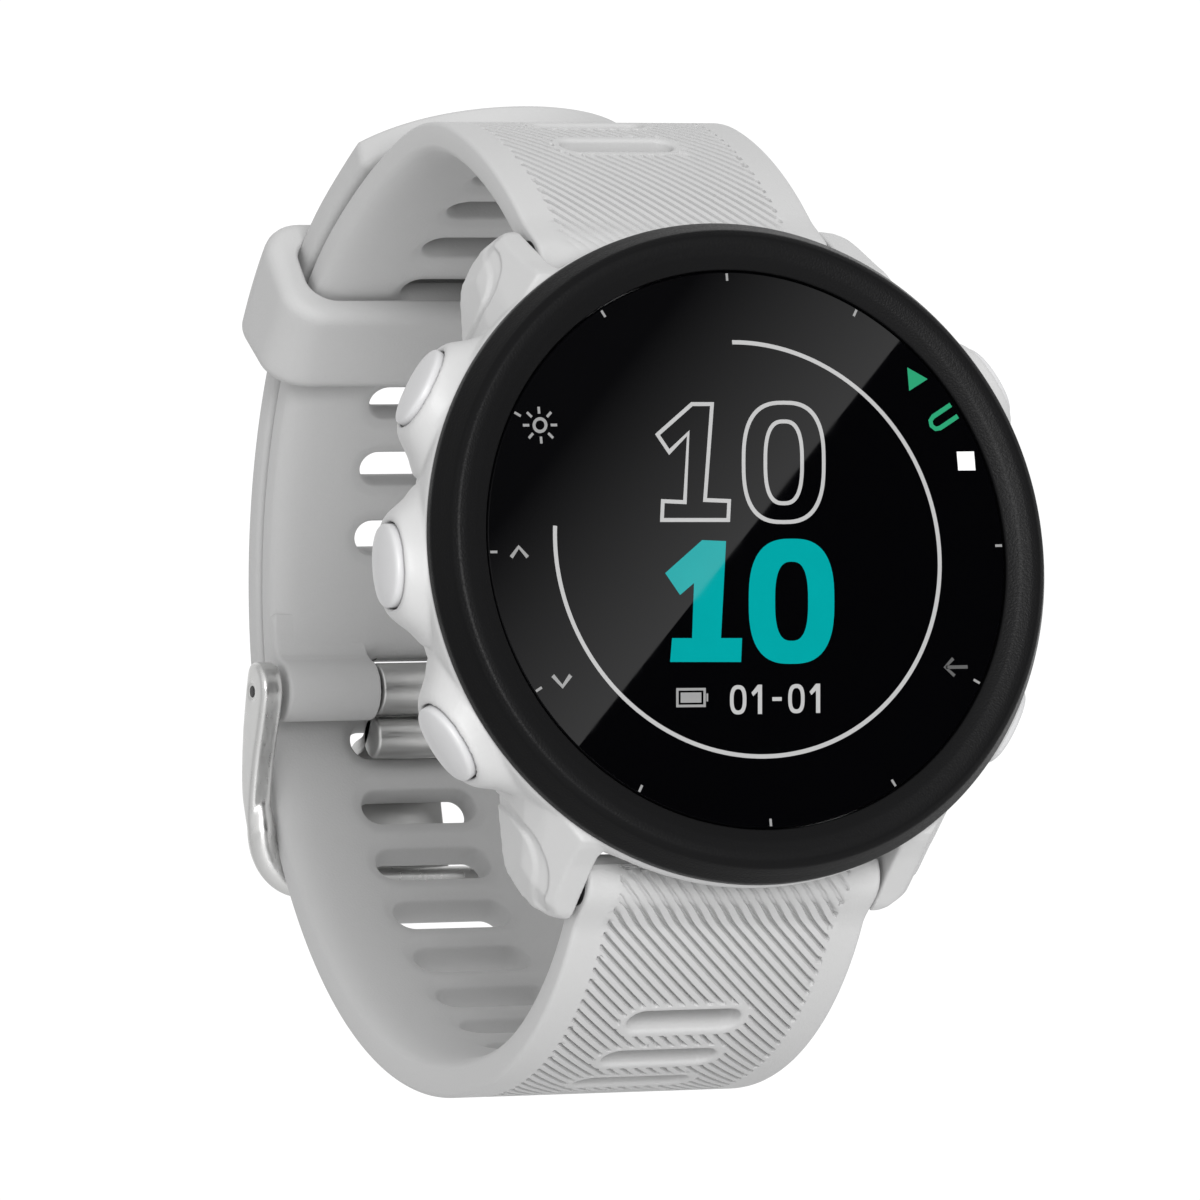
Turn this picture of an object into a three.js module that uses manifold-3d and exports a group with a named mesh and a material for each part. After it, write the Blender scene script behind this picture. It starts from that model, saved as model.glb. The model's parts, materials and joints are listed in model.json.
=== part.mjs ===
// GPS running watch, fastened: round polymer case, black bezel, five side buttons,
// two-piece silicone strap with a steel buckle.
//
// Millimetres. The dial faces -Y, 12 o'clock is +Z, 3 o'clock is +X.
// The origin is the centre of the flat that rests on the wrist.

import * as THREE from 'three';
import { mergeVertices } from 'three/addons/utils/BufferGeometryUtils.js';
import Module from 'manifold-3d';

const wasm = await Module();
wasm.setup();

// ---------------------------------------------------------------- driving dimensions

const CASE_ROUND = 48;                // sides of the case, bezel and lens
const ROUND = 28;                     // sides of the round pieces inside
const SMALL_ROUND = 12;               // sides of a small circle
const GAP = 0.3;                      // assembly gap between touching pieces

const CASE_RADIUS = 20.9;
const CAVITY_RADIUS = 16.2;
const CASE_FRONT_Y = -9.2;
const COVER_SEAT_Y = -2.6;
const COVER_SEAT_RADIUS = 17.2;
const COVER_BACK_Y = -1.0;            // outside of the back cover, round the sensor plateau
const LENS_FRONT_Y = -11.0;
const LENS_RADIUS = 17.55;
const BEZEL_FRONT_Y = -11.6;
const BEZEL_BACK_Y = -9.45;
const BEZEL_RADIUS = 20.87;

const STRAP_WIDTH = 20;
const STRAP_THICKNESS = 2.2;
const LAYER_GAP = 0.15;               // half the gap between the two strap layers
const LUG_INNER_X = 10.35;
const BAR_Y = -3.2;                   // spring bars
const BAR_Z = 19.6;
const KNUCKLE_RADIUS = 1.83;          // strap end round a spring bar

const BUTTON_Y = -6.35;
const BUTTON_LENGTH = 5.45;
const BUTTON_WIDTH = 4.0;
const BUTTONS = [                     // degrees clockwise from 12 o'clock, face's distance from the axis
  { name: 'light', angle: 300, face: 22.95 },
  { name: 'up', angle: 270, face: 22.95 },
  { name: 'down', angle: 240, face: 22.95 },
  { name: 'start', angle: 60, face: 22.8 },
  { name: 'back', angle: 120, face: 22.1 },
];

// The face where the two strap layers meet, seen from 9 o'clock: it leaves the upper lugs,
// goes over the top, down the back and forward again to the lower lugs.
const LOOP_START = { y: -3.23, z: 22.11, heading: 52.3 };
const LOOP_ARCS = [
  { length: 13.4, turn: 26.5 },       // rises from the upper lugs
  { length: 8.9, turn: 33.5 },        // bends over the top
  { length: 14.0, turn: 15.2 },       // runs back
  { length: 13.0, turn: 27.5 },       // under the keeper
  { length: 52.5, turn: 101.6 },      // down the back, past the buckle
  { length: 34.9, turn: 65.9 },       // forward to the lower lugs
];
const LOOP_LENGTH = LOOP_ARCS.reduce((sum, arc) => sum + arc.length, 0);

const SLOT_LENGTH = 7.4;
const SLOT_WIDTH = 2.3;
const UPPER_SLOTS = { first: 10.1, pitch: 5.05, count: 11 };
const LOWER_SLOTS = { first: 37.7, pitch: 4.6, count: 20 };
const TONGUE_SLOT = LOWER_SLOTS.first + 8 * LOWER_SLOTS.pitch;

const TAIL_TIP = 23.9;                // place of the long strap's tip along the loop
const TAIL_TIP_RADIUS = 12;
const KEEPER_MIDDLE = 44.2;
const KEEPER_LENGTH = 7.6;
const PIN = { y: 43.8, z: -0.1 };     // buckle pin
const PIN_RADIUS = 0.75;
const SLEEVE_RADIUS = 2.05;           // strap end round the buckle pin
const TONGUE_WIDTH = 6.4;

// ---------------------------------------------------------------- materials

const material = (color, roughness, metalness = 0) =>
  new THREE.MeshStandardMaterial({ color, roughness, metalness });

const WHITE_POLYMER = () => material(0xd2d2d2, 0.5);
const SILICONE = () => material(0xc6c6c6, 0.7);
const BLACK_POLYMER = () => material(0x1a1a1a, 0.55);
const STEEL = () => material(0xb4b4b2, 0.35, 1);
const RUBBER = () => material(0x222222, 0.8);

// ---------------------------------------------------------------- solids

// Turns a closed geometry into a manifold solid with its faces pointing out.
function solid(geometry, matrix = new THREE.Matrix4()) {
  const bare = geometry.clone().applyMatrix4(matrix);
  bare.deleteAttribute('normal');
  bare.deleteAttribute('uv');
  const merged = mergeVertices(bare, 1e-4);
  const points = merged.attributes.position;
  const corner = (i) => new THREE.Vector3().fromBufferAttribute(points, i);
  const triangles = [];
  let volume = 0;
  for (let i = 0; i < merged.index.count; i += 3) {
    const [a, b, c] = [0, 1, 2].map((k) => merged.index.getX(i + k));
    if (a === b || b === c || c === a) continue;
    triangles.push(a, b, c);
    volume += corner(a).dot(corner(b).cross(corner(c)));
  }
  if (volume < 0) triangles.reverse();
  return new wasm.Manifold(new wasm.Mesh({
    numProp: 3,
    vertProperties: Float32Array.from(points.array),
    triVerts: Uint32Array.from(triangles),
  }));
}

function geometryOf(body) {
  const mesh = body.getMesh();
  const geometry = new THREE.BufferGeometry();
  geometry.setAttribute('position', new THREE.BufferAttribute(mesh.vertProperties.slice(), 3));
  geometry.setIndex(new THREE.BufferAttribute(mesh.triVerts.slice(), 1));
  geometry.computeVertexNormals();
  return geometry;
}

const moved = (x, y, z) => new THREE.Matrix4().makeTranslation(x, y, z);
const joined = (first, ...rest) => rest.reduce((sum, body) => sum.add(body), first);
const cut = (first, ...rest) => rest.reduce((left, body) => left.subtract(body), first);

function part(name, body, look) {
  const mesh = new THREE.Mesh(geometryOf(body), look);
  mesh.name = name;
  return mesh;
}

// A profile of [radius, y] points turned about the dial's axis.
function turned(profile, sides = ROUND) {
  const points = profile.map(([radius, y]) => new THREE.Vector2(radius, y));
  return solid(new THREE.LatheGeometry([...points, points[0]], sides));
}

function disc(radius, yFrom, yTo, sides = ROUND) {
  return turned([[0, yFrom], [radius, yFrom], [radius, yTo], [0, yTo]], sides);
}

function ring(inner, outer, yFrom, yTo, sides = ROUND) {
  return turned([[inner, yFrom], [outer, yFrom], [outer, yTo], [inner, yTo]], sides);
}

// A small disc or ring on an axis parallel to the dial's, away from the centre.
const discAt = (x, z, radius, yFrom, yTo, sides = SMALL_ROUND) =>
  disc(radius, yFrom, yTo, sides).translate([x, 0, z]);

// A box given by its low and high corners.
function block(low, high) {
  const size = high.map((value, i) => value - low[i]);
  const middle = high.map((value, i) => (value + low[i]) / 2);
  return solid(new THREE.BoxGeometry(...size), moved(...middle));
}

// A cylinder along X.
function rod(radius, xFrom, xTo, y, z, sides = SMALL_ROUND) {
  const along = new THREE.Matrix4().makeRotationZ(Math.PI / 2);
  const place = moved((xFrom + xTo) / 2, y, z).multiply(along);
  return solid(new THREE.CylinderGeometry(radius, radius, xTo - xFrom, sides), place);
}

// A cylinder along Z.
function post(radius, zFrom, zTo, x, y, sides = SMALL_ROUND) {
  const along = new THREE.Matrix4().makeRotationX(Math.PI / 2);
  const place = moved(x, y, (zFrom + zTo) / 2).multiply(along);
  return solid(new THREE.CylinderGeometry(radius, radius, zTo - zFrom, sides), place);
}

// An outline of [y, z] points pushed along X.
function slab(outline, xFrom, xTo, chamfer = 0) {
  const shape = new THREE.Shape(outline.map(([y, z]) => new THREE.Vector2(y, z)));
  const geometry = new THREE.ExtrudeGeometry(shape, {
    depth: xTo - xFrom - 2 * chamfer,
    bevelEnabled: chamfer > 0,
    bevelThickness: chamfer,
    bevelSize: chamfer / 2,
    bevelOffset: -chamfer / 2,
    bevelSegments: 1,
  });
  // Shape x, y and depth become row Y, Z and X.
  const turn = new THREE.Matrix4().set(
    0, 0, 1, xFrom + chamfer,
    1, 0, 0, 0,
    0, 1, 0, 0,
    0, 0, 0, 1,
  );
  return solid(geometry, turn);
}

// A flat shape with round ends, `length` along its first axis.
function oblong(length, width, sides = 5) {
  const radius = width / 2;
  const centre = length / 2 - radius;
  const points = [];
  for (const side of [1, -1]) {
    for (let i = 0; i <= sides; i += 1) {
      const angle = side * Math.PI / 2 - Math.PI + (i / sides) * Math.PI;
      points.push(new THREE.Vector2(side * centre + radius * Math.cos(angle), radius * Math.sin(angle)));
    }
  }
  return new THREE.Shape(points);
}

// ---------------------------------------------------------------- the strap's loop

// Place, heading and outward normal at a distance along the loop, in the Y-Z plane.
function loopAt(distance) {
  let { y, z, heading } = LOOP_START;
  let left = distance;
  for (const [i, arc] of LOOP_ARCS.entries()) {
    const last = i === LOOP_ARCS.length - 1;
    const step = last ? left : Math.min(left, arc.length);
    const turn = arc.turn * step / arc.length;
    const chordHeading = THREE.MathUtils.degToRad(heading - turn / 2);
    const half = THREE.MathUtils.degToRad(turn / 2);
    const chord = Math.abs(half) < 1e-9 ? step : step * Math.sin(half) / half;
    y += chord * Math.cos(chordHeading);
    z += chord * Math.sin(chordHeading);
    heading -= turn;
    left -= step;
    if (left <= 0) break;
  }
  const angle = THREE.MathUtils.degToRad(heading);
  return { y, z, angle, normal: { y: -Math.sin(angle), z: Math.cos(angle) } };
}

function beside(distance, offset) {
  const at = loopAt(distance);
  return [at.y + offset * at.normal.y, at.z + offset * at.normal.z];
}

// Points along the loop at an offset that may change on the way.
function alongLoop(from, to, offset, spacing = 2.2) {
  const steps = Math.max(1, Math.round(Math.abs(to - from) / spacing));
  const offsetAt = typeof offset === 'function' ? offset : () => offset;
  return Array.from({ length: steps + 1 }, (_, i) => {
    const distance = from + (to - from) * i / steps;
    return beside(distance, offsetAt(distance));
  });
}

const band = (from, to, inner, outer, spacing) =>
  [...alongLoop(from, to, outer, spacing), ...alongLoop(to, from, inner, spacing)];

// Local frame on the loop: X across the strap, Y along it, Z outward.
function loopFrame(distance) {
  const at = loopAt(distance);
  return new THREE.Matrix4().makeBasis(
    new THREE.Vector3(1, 0, 0),
    new THREE.Vector3(0, Math.cos(at.angle), Math.sin(at.angle)),
    new THREE.Vector3(0, at.normal.y, at.normal.z),
  ).setPosition(0, at.y, at.z);
}

function slotCutter(distance, from, to) {
  const shape = oblong(SLOT_LENGTH, SLOT_WIDTH, 3);
  const geometry = new THREE.ExtrudeGeometry(shape, { depth: to - from, bevelEnabled: false });
  return solid(geometry.translate(0, 0, from), loopFrame(distance));
}

// ---------------------------------------------------------------- case

// A lug pair's outline seen from 9 o'clock; side is 1 at 12 o'clock, -1 at 6 o'clock.
const lugSide = (side) => [
  [-9.0, 12], [-9.0, 17.8], [-8.4, 18.2], [-6.8, 19.05], [-5.5, 19.9], [-4.2, 20.75], [-3.1, 21.5],
  [-2.4, 21.8], [-1.7, 21.4], [-1.2, 20.7], [-1.0, 19.5], [-1.1, 17.5], [-1.8, 15], [-2.2, 12],
].map(([y, z]) => [y, side * z]);

// One lug's [x, z] outline from its inner face outward: small at the front, full from LUG_FULL_Y back.
const LUG_FULL_Y = -3.5;
const lugFront = [
  [LUG_INNER_X, 12], [15.2, 12], [13.9, 15], [12.3, 17], [11.2, 18.6], [LUG_INNER_X, 19.6],
];
const lugFull = [
  [LUG_INNER_X, 12], [14.6, 12], [14.1, 16], [13.8, 18.5], [13.0, 19.9], [12.3, 20.8], [11.3, 21.6],
  [LUG_INNER_X, 21.9],
];

function lug(xSide, zSide) {
  const at = (outline, y) => outline.map(([x, z]) => [xSide * x, y, zSide * z]);
  const flank = wasm.Manifold.hull([
    ...at(lugFront, CASE_FRONT_Y),
    ...at(lugFull, LUG_FULL_Y),
    ...at(lugFull, 0),
  ]);
  const [from, to] = xSide > 0 ? [LUG_INNER_X, 16] : [-16, -LUG_INNER_X];
  return flank.intersect(slab(lugSide(zSide), from, to));
}

// Places something made on the +Z side at a button's angle.
const atAngle = (degrees) => new THREE.Matrix4().makeRotationY(THREE.MathUtils.degToRad(degrees));

function radialOblong(length, width, from, to, y, chamfer = 0) {
  const geometry = new THREE.ExtrudeGeometry(oblong(length, width), {
    depth: to - from - 2 * chamfer,
    bevelEnabled: chamfer > 0,
    bevelThickness: chamfer,
    bevelSize: chamfer,
    bevelOffset: -chamfer,
    bevelSegments: 1,
  });
  return geometry.translate(0, y, from + chamfer);
}

// The free space between two lugs, behind the lip that carries the bezel.
function strapPocket(side) {
  const round = rod(KNUCKLE_RADIUS + GAP, -LUG_INNER_X, LUG_INNER_X, BAR_Y, side * BAR_Z, 24);
  const open = slab([
    [-8.0, side * 18.8], [-5.4, side * 17.3], [0.5, side * 18.9], [0.5, side * 26], [-8.0, side * 26],
  ], -LUG_INNER_X, LUG_INNER_X);
  return round.add(open);
}

const SCREW_ANGLES = [45, 135, 225, 315];
const SCREW_CIRCLE = 15.0;
const screwPlace = (degrees) => {
  const angle = THREE.MathUtils.degToRad(degrees);
  return [SCREW_CIRCLE * Math.sin(angle), SCREW_CIRCLE * Math.cos(angle)];
};

function caseMiddle() {
  let body = turned([
    [CAVITY_RADIUS, CASE_FRONT_Y], [20.6, CASE_FRONT_Y], [CASE_RADIUS, -8.9], [CASE_RADIUS, -8.2],
    [20.5, -6.2], [19.6, -3.2], [18.9, -1.9], [18.0, -1.2], [COVER_SEAT_RADIUS, -1.2],
    [COVER_SEAT_RADIUS, COVER_SEAT_Y], [CAVITY_RADIUS, COVER_SEAT_Y],
  ], CASE_ROUND);
  for (const xSide of [-1, 1]) {
    for (const zSide of [-1, 1]) body = body.add(lug(xSide, zSide));
  }
  for (const { angle } of BUTTONS) {
    body = body.add(solid(radialOblong(8.8, 5.4, 17.4, 21.5, -6.45, 0.7), atAngle(angle)));
  }
  for (const angle of SCREW_ANGLES) {
    const [x, z] = screwPlace(angle);
    body = body.add(discAt(x, z, 1.6, -3.9, COVER_SEAT_Y));
  }
  body = cut(
    body,
    disc(CAVITY_RADIUS, -20, -3.9, CASE_ROUND),
    disc(COVER_SEAT_RADIUS, COVER_SEAT_Y, 1, CASE_ROUND),
    strapPocket(1),
    strapPocket(-1),
  );
  for (const { angle } of BUTTONS) {
    const place = atAngle(angle);
    body = cut(
      body,
      solid(radialOblong(BUTTON_LENGTH + 0.6, BUTTON_WIDTH + 0.6, 20.0, 25, BUTTON_Y), place),
      post(1.35, 18.2, 20.5, 0, BUTTON_Y).transform(place.elements),
      post(0.8, 14, 19, 0, BUTTON_Y).transform(place.elements),
    );
  }
  for (const angle of SCREW_ANGLES) {
    const [x, z] = screwPlace(angle);
    body = body.subtract(discAt(x, z, 0.75, -3.65, 0));
  }
  for (const zSide of [-1, 1]) {
    body = body.subtract(rod(0.65, -12.0, 12.0, BAR_Y, zSide * BAR_Z));
  }
  return body;
}

function bezel() {
  return turned([
    [17.9, BEZEL_BACK_Y], [17.9, -11.0], [18.5, -11.5], [19.2, BEZEL_FRONT_Y], [19.7, BEZEL_FRONT_Y],
    [20.1, -11.3], [BEZEL_RADIUS, -9.75], [BEZEL_RADIUS, BEZEL_BACK_Y],
  ], CASE_ROUND);
}

// ---------------------------------------------------------------- display stack and electronics

function displayHolder() {
  return turned([
    [12.0, -8.0], [14.45, -8.0], [14.45, -9.4], [14.95, -9.4], [14.95, -7.75], [12.0, -7.75],
  ]);
}

function gpsAntenna() {
  const sector = slab([[-10, 0], [-10, 18], [-7, 18], [-7, 0]], -7.5, 7.5);
  return ring(15.35, 15.9, -9.05, -8.25).intersect(sector);
}

function chassis() {
  let body = ring(14.3, 15.9, -4.75, -4.2);
  for (const { angle } of BUTTONS) {
    const pad = block([-1.7, -5.4, 12.9], [1.7, -4.6, 14.9]);
    body = body.add(pad.transform(atAngle(angle).elements));
  }
  return body;
}

function mainBoard() {
  const notch = block([-2.2, -8, 11.6], [2.2, -6, 13]);
  return cut(disc(12.5, -7.45, -6.75), notch, block([-13, -8, -1.6], [-11.8, -6, 1.6]));
}

const MOTOR = { x: 0, z: -8.4 };

// A cup open towards the back cover, with the rotor's shaft standing in it.
function motorHousing() {
  const cup = turned([
    [0, -6.6], [4.0, -6.6], [4.0, -4.0], [3.7, -4.0], [3.7, -6.25], [0.35, -6.25], [0.35, -4.4], [0, -4.4],
  ], 28);
  return cup.translate([MOTOR.x, 0, MOTOR.z]);
}

function motorRotor() {
  const whole = ring(0.5, 3.35, -5.9, -4.6, 28);
  const half = block([-4, -7, 0.9], [4, -3, 4]);
  return whole.subtract(half).translate([MOTOR.x, 0, MOTOR.z]);
}

function battery() {
  return block([-8.5, -5.4, -3.6], [8.5, -2.3, 9.0]);
}

// ---------------------------------------------------------------- back

const CONTACTS_X = [-2.7, -0.9, 0.9, 2.7];
const CONTACTS_Z = -12.4;
const PLATEAU_RADIUS = 9.6;
const WINDOW_RADIUS = 6.0;

function backCover() {
  let body = turned([
    [WINDOW_RADIUS + GAP, 0], [WINDOW_RADIUS + GAP, -1.0], [7.6, -1.0], [7.6, -2.1], [16.85, -2.1],
    [16.85, -1.25], [16.55, COVER_BACK_Y], [11.2, COVER_BACK_Y], [PLATEAU_RADIUS, 0],
  ], 48);
  for (const angle of SCREW_ANGLES) {
    const [x, z] = screwPlace(angle);
    body = cut(body, discAt(x, z, 1.4, -1.65, 0), discAt(x, z, 0.8, -3, 0));
  }
  body = body.subtract(block([-4.2, -1.25, CONTACTS_Z - 1.2], [4.2, 0.5, CONTACTS_Z + 1.0]));
  for (const x of CONTACTS_X) body = body.subtract(discAt(x, CONTACTS_Z, 0.75, -3, 0, 12));
  return body;
}

const backScrew = (x, z) => joined(
  discAt(x, z, 1.1, -1.6, -1.05),
  discAt(x, z, 0.6, -3.4, -1.5),
).subtract(block([x - 0.8, -1.25, z - 0.15], [x + 0.8, -0.9, z + 0.15]));

// Stepped pin: a pad for the charging clip outside, a thinner tail towards the sensor board.
const chargingContact = (x) => joined(
  discAt(x, CONTACTS_Z, 0.5, -2.2, -1.2, 12),
  discAt(x, CONTACTS_Z, 0.3, -3.0, -2.1, 12),
);

// The board behind the window, with its light source and two photodiodes standing on it.
function sensorBoard() {
  return joined(
    disc(7.2, -2.0, -1.45, 36),
    block([-0.9, -1.6, -0.9], [0.9, -0.95, 0.9]),
    block([-4.2, -1.6, -1.1], [-2.2, -0.95, 1.1]),
    block([2.2, -1.6, -1.1], [4.2, -0.95, 1.1]),
  );
}

// ---------------------------------------------------------------- buttons

// One button's pieces, made as if at 12 o'clock and turned to its place as a group.
function buttonGroup({ name, angle, face }) {
  const cap = solid(radialOblong(BUTTON_LENGTH, BUTTON_WIDTH, 20.9, face, BUTTON_Y, 0.5));
  const stem = post(0.6, 15.35, 21.2, 0, BUTTON_Y);
  const washer = (inner, outer, from, to) =>
    post(outer, from, to, 0, BUTTON_Y).subtract(post(inner, from - 1, to + 1, 0, BUTTON_Y));
  const seal = new THREE.TorusGeometry(1.0, 0.26, 6, SMALL_ROUND).translate(0, BUTTON_Y, 19.3);
  const body = block([-1.5, -7.55, 12.8], [1.5, -5.7, 14.3]);
  const plunger = post(0.5, 14.1, 14.7, 0, BUTTON_Y);
  const group = new THREE.Group();
  group.rotation.y = THREE.MathUtils.degToRad(angle);
  group.add(
    part(`button_${name}`, cap.add(stem), WHITE_POLYMER()),
    part(`button_${name}_o_ring`, solid(seal), RUBBER()),
    part(`button_${name}_clip`, washer(0.7, 1.3, 15.55, 15.85), STEEL()),
    part(`button_${name}_switch`, body.add(plunger), BLACK_POLYMER()),
  );
  return group;
}

// ---------------------------------------------------------------- spring bars

const END_NAMES = [['upper', 1], ['lower', -1]];
const RELEASE_X = 6.9;                // the release knob's place along the bar
const RELEASE_TRAVEL = 1.3;

// Tube with one fixed tip; its other end is bored for the sliding tip and slotted for the knob.
function springBar(side) {
  const z = side * BAR_Z;
  const tube = joined(rod(0.95, -10.0, 10.0, BAR_Y, z), rod(0.45, -11.6, -9.8, BAR_Y, z, 12));
  const knobSlot = block([RELEASE_X - RELEASE_TRAVEL - 0.8, BAR_Y, z - 0.55],
    [RELEASE_X + 0.8, BAR_Y + 2, z + 0.55]);
  return cut(tube, rod(0.65, 4.0, 11, BAR_Y, z, 12), knobSlot);
}

// Sliding tip with the knob that a fingernail pushes.
function releasePin(side) {
  const z = side * BAR_Z;
  const knob = new THREE.CylinderGeometry(0.4, 0.4, 2.5, 12);
  return joined(
    rod(0.45, 5.6, 11.6, BAR_Y, z, 12),
    solid(knob, moved(RELEASE_X, BAR_Y + 1.3, z)),
  );
}

// ---------------------------------------------------------------- strap

// The strap end between two lugs: a knuckle round the spring bar, and the neck that joins it.
function strapEnd(side, outerStart, innerStart) {
  const knuckle = rod(KNUCKLE_RADIUS, -STRAP_WIDTH / 2, STRAP_WIDTH / 2, BAR_Y, side * BAR_Z, 24);
  const neck = slab([
    outerStart, [-4.1, side * 21.15], [-4.7, side * 20.55], [-5.0, side * 19.8],
    [BAR_Y, side * BAR_Z], [BAR_Y + KNUCKLE_RADIUS - 0.05, side * BAR_Z], innerStart,
  ], -STRAP_WIDTH / 2, STRAP_WIDTH / 2);
  return knuckle.add(neck);
}

// Bore for the bar, and the opening on the wrist side where the release knob moves.
function barSpace(side) {
  const z = side * BAR_Z;
  const bore = rod(1.1, -11, 11, BAR_Y, z, 20);
  const notch = block([RELEASE_X - RELEASE_TRAVEL - 1.1, BAR_Y, z - 0.8],
    [RELEASE_X + 1.1, BAR_Y + 4, z + 0.8]);
  return bore.add(notch);
}

function strapUpper() {
  const outer = -LAYER_GAP;
  const inner = -LAYER_GAP - STRAP_THICKNESS;
  const end = 71.0;
  let body = slab(band(0, end, inner, outer), -STRAP_WIDTH / 2, STRAP_WIDTH / 2, 0.6);
  body = joined(
    body,
    strapEnd(1, beside(0.6, outer), beside(0.6, inner)),
    rod(SLEEVE_RADIUS, -STRAP_WIDTH / 2, STRAP_WIDTH / 2, PIN.y, PIN.z, 24),
  );
  for (let i = 0; i < UPPER_SLOTS.count; i += 1) {
    body = body.subtract(slotCutter(UPPER_SLOTS.first + i * UPPER_SLOTS.pitch, -4, 1));
  }
  const knuckleGap = TONGUE_WIDTH / 2 + GAP;
  return cut(
    body,
    barSpace(1),
    rod(PIN_RADIUS + 0.15, -12, 12, PIN.y, PIN.z),
    block([-knuckleGap, PIN.y - 3, PIN.z - 3], [knuckleGap, PIN.y + 4, PIN.z + 2.3]),
  );
}

// The long strap's faces. It draws in towards the lugs, and the tip of its tail stands off a little.
function lowerInner(distance) {
  const nearLugs = Math.max(0, (distance - 114) / (LOOP_LENGTH - 114));
  const lift = 0.25 * (1 - THREE.MathUtils.smoothstep(distance, TAIL_TIP, TAIL_TIP + 10));
  return LAYER_GAP + lift - 2.0 * nearLugs ** 2.5;
}

const lowerOuter = (distance) => lowerInner(distance) + STRAP_THICKNESS;

function strapLower() {
  const end = LOOP_LENGTH;
  let body = slab(band(TAIL_TIP, end, lowerInner, lowerOuter), -STRAP_WIDTH / 2, STRAP_WIDTH / 2, 0.6);
  const lugEnd = end - 0.6;
  body = body.add(strapEnd(-1, beside(lugEnd, lowerOuter(lugEnd)), beside(lugEnd, lowerInner(lugEnd))));
  for (let i = 0; i < LOWER_SLOTS.count; i += 1) {
    body = body.subtract(slotCutter(LOWER_SLOTS.first + i * LOWER_SLOTS.pitch, -1, 4));
  }
  const tipFrame = loopFrame(TAIL_TIP + TAIL_TIP_RADIUS);
  const corner = block([-12, -16, -3], [12, 0, 5]).transform(tipFrame.elements);
  const roundTip = new THREE.CylinderGeometry(TAIL_TIP_RADIUS, TAIL_TIP_RADIUS, 12, ROUND);
  const roundFrame = tipFrame.clone().multiply(new THREE.Matrix4().makeRotationX(Math.PI / 2));
  return cut(body, barSpace(-1), corner.subtract(solid(roundTip, roundFrame)));
}

const KEEPER_CORNER = 2.8;

// The keeper's section across the strap: [x, offset] points of a rounded rectangle.
function keeperSection(inset) {
  const layers = LAYER_GAP + STRAP_THICKNESS;
  const radius = KEEPER_CORNER - inset;
  const x = 12.4 - KEEPER_CORNER;
  const low = -layers - 2.0 + KEEPER_CORNER;
  const high = layers + 2.2 - KEEPER_CORNER;
  const centres = [[x, high], [-x, high], [-x, low], [x, low]];
  return centres.flatMap(([cx, cy], quarter) => [0, 1, 2, 3, 4].map((i) => {
    const angle = (quarter + i / 4) * Math.PI / 2;
    return [cx + radius * Math.cos(angle), cy + radius * Math.sin(angle)];
  }));
}

// A convex section carried along the loop; stations are { at, inset }.
function carried(sectionOf, stations) {
  const rings = stations.map(({ at, inset }) =>
    sectionOf(inset).map(([x, offset]) => [x, ...beside(at, offset)]));
  const size = rings[0].length;
  const triangles = [];
  for (let r = 0; r + 1 < rings.length; r += 1) {
    for (let i = 0; i < size; i += 1) {
      const a = r * size + i;
      const b = r * size + (i + 1) % size;
      triangles.push(a, b, b + size, a, b + size, a + size);
    }
  }
  const last = (rings.length - 1) * size;
  for (let i = 1; i + 1 < size; i += 1) triangles.push(0, i + 1, i, last, last + i, last + i + 1);
  const geometry = new THREE.BufferGeometry();
  geometry.setAttribute('position', new THREE.Float32BufferAttribute(rings.flat(2), 3));
  geometry.setIndex(triangles);
  return solid(geometry);
}

function keeper() {
  const from = KEEPER_MIDDLE - KEEPER_LENGTH / 2;
  const to = KEEPER_MIDDLE + KEEPER_LENGTH / 2;
  const free = LAYER_GAP + STRAP_THICKNESS + 0.35;
  const outside = carried(keeperSection, [
    { at: from, inset: 0.5 },
    { at: from + 0.5, inset: 0 },
    { at: KEEPER_MIDDLE - 1.1, inset: 0 },
    { at: KEEPER_MIDDLE + 1.1, inset: 0 },
    { at: to - 0.5, inset: 0 },
    { at: to, inset: 0.5 },
  ]);
  const inside = slab(band(from - 1, to + 1, -free, free, 1.9), -10.5, 10.5);
  return outside.subtract(inside);
}

// ---------------------------------------------------------------- buckle

const BOW_PLACE = 82.8;               // the bow's place along the loop
const BOW_OFFSET = 3.75;
const BOW_RADIUS = 0.95;
const ARM_INNER_X = 10.45;
const ARM_OUTER_X = 12.0;
const BOW_CORNER = 3.0;

// What is cut away to round a corner between an arm and the bow.
function bowCorner(side) {
  const low = BOW_RADIUS - BOW_CORNER;
  const middle = side * (ARM_OUTER_X - BOW_CORNER);
  const far = side * (ARM_OUTER_X + 1);
  const round = new THREE.CylinderGeometry(BOW_CORNER, BOW_CORNER, 9, ROUND);
  const upright = moved(middle, low, 4).multiply(new THREE.Matrix4().makeRotationX(Math.PI / 2));
  const corner = block(
    [Math.min(middle, far), low, 1],
    [Math.max(middle, far), BOW_RADIUS + 1, 7],
  );
  return corner.subtract(solid(round, upright)).transform(loopFrame(BOW_PLACE).elements);
}

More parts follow.
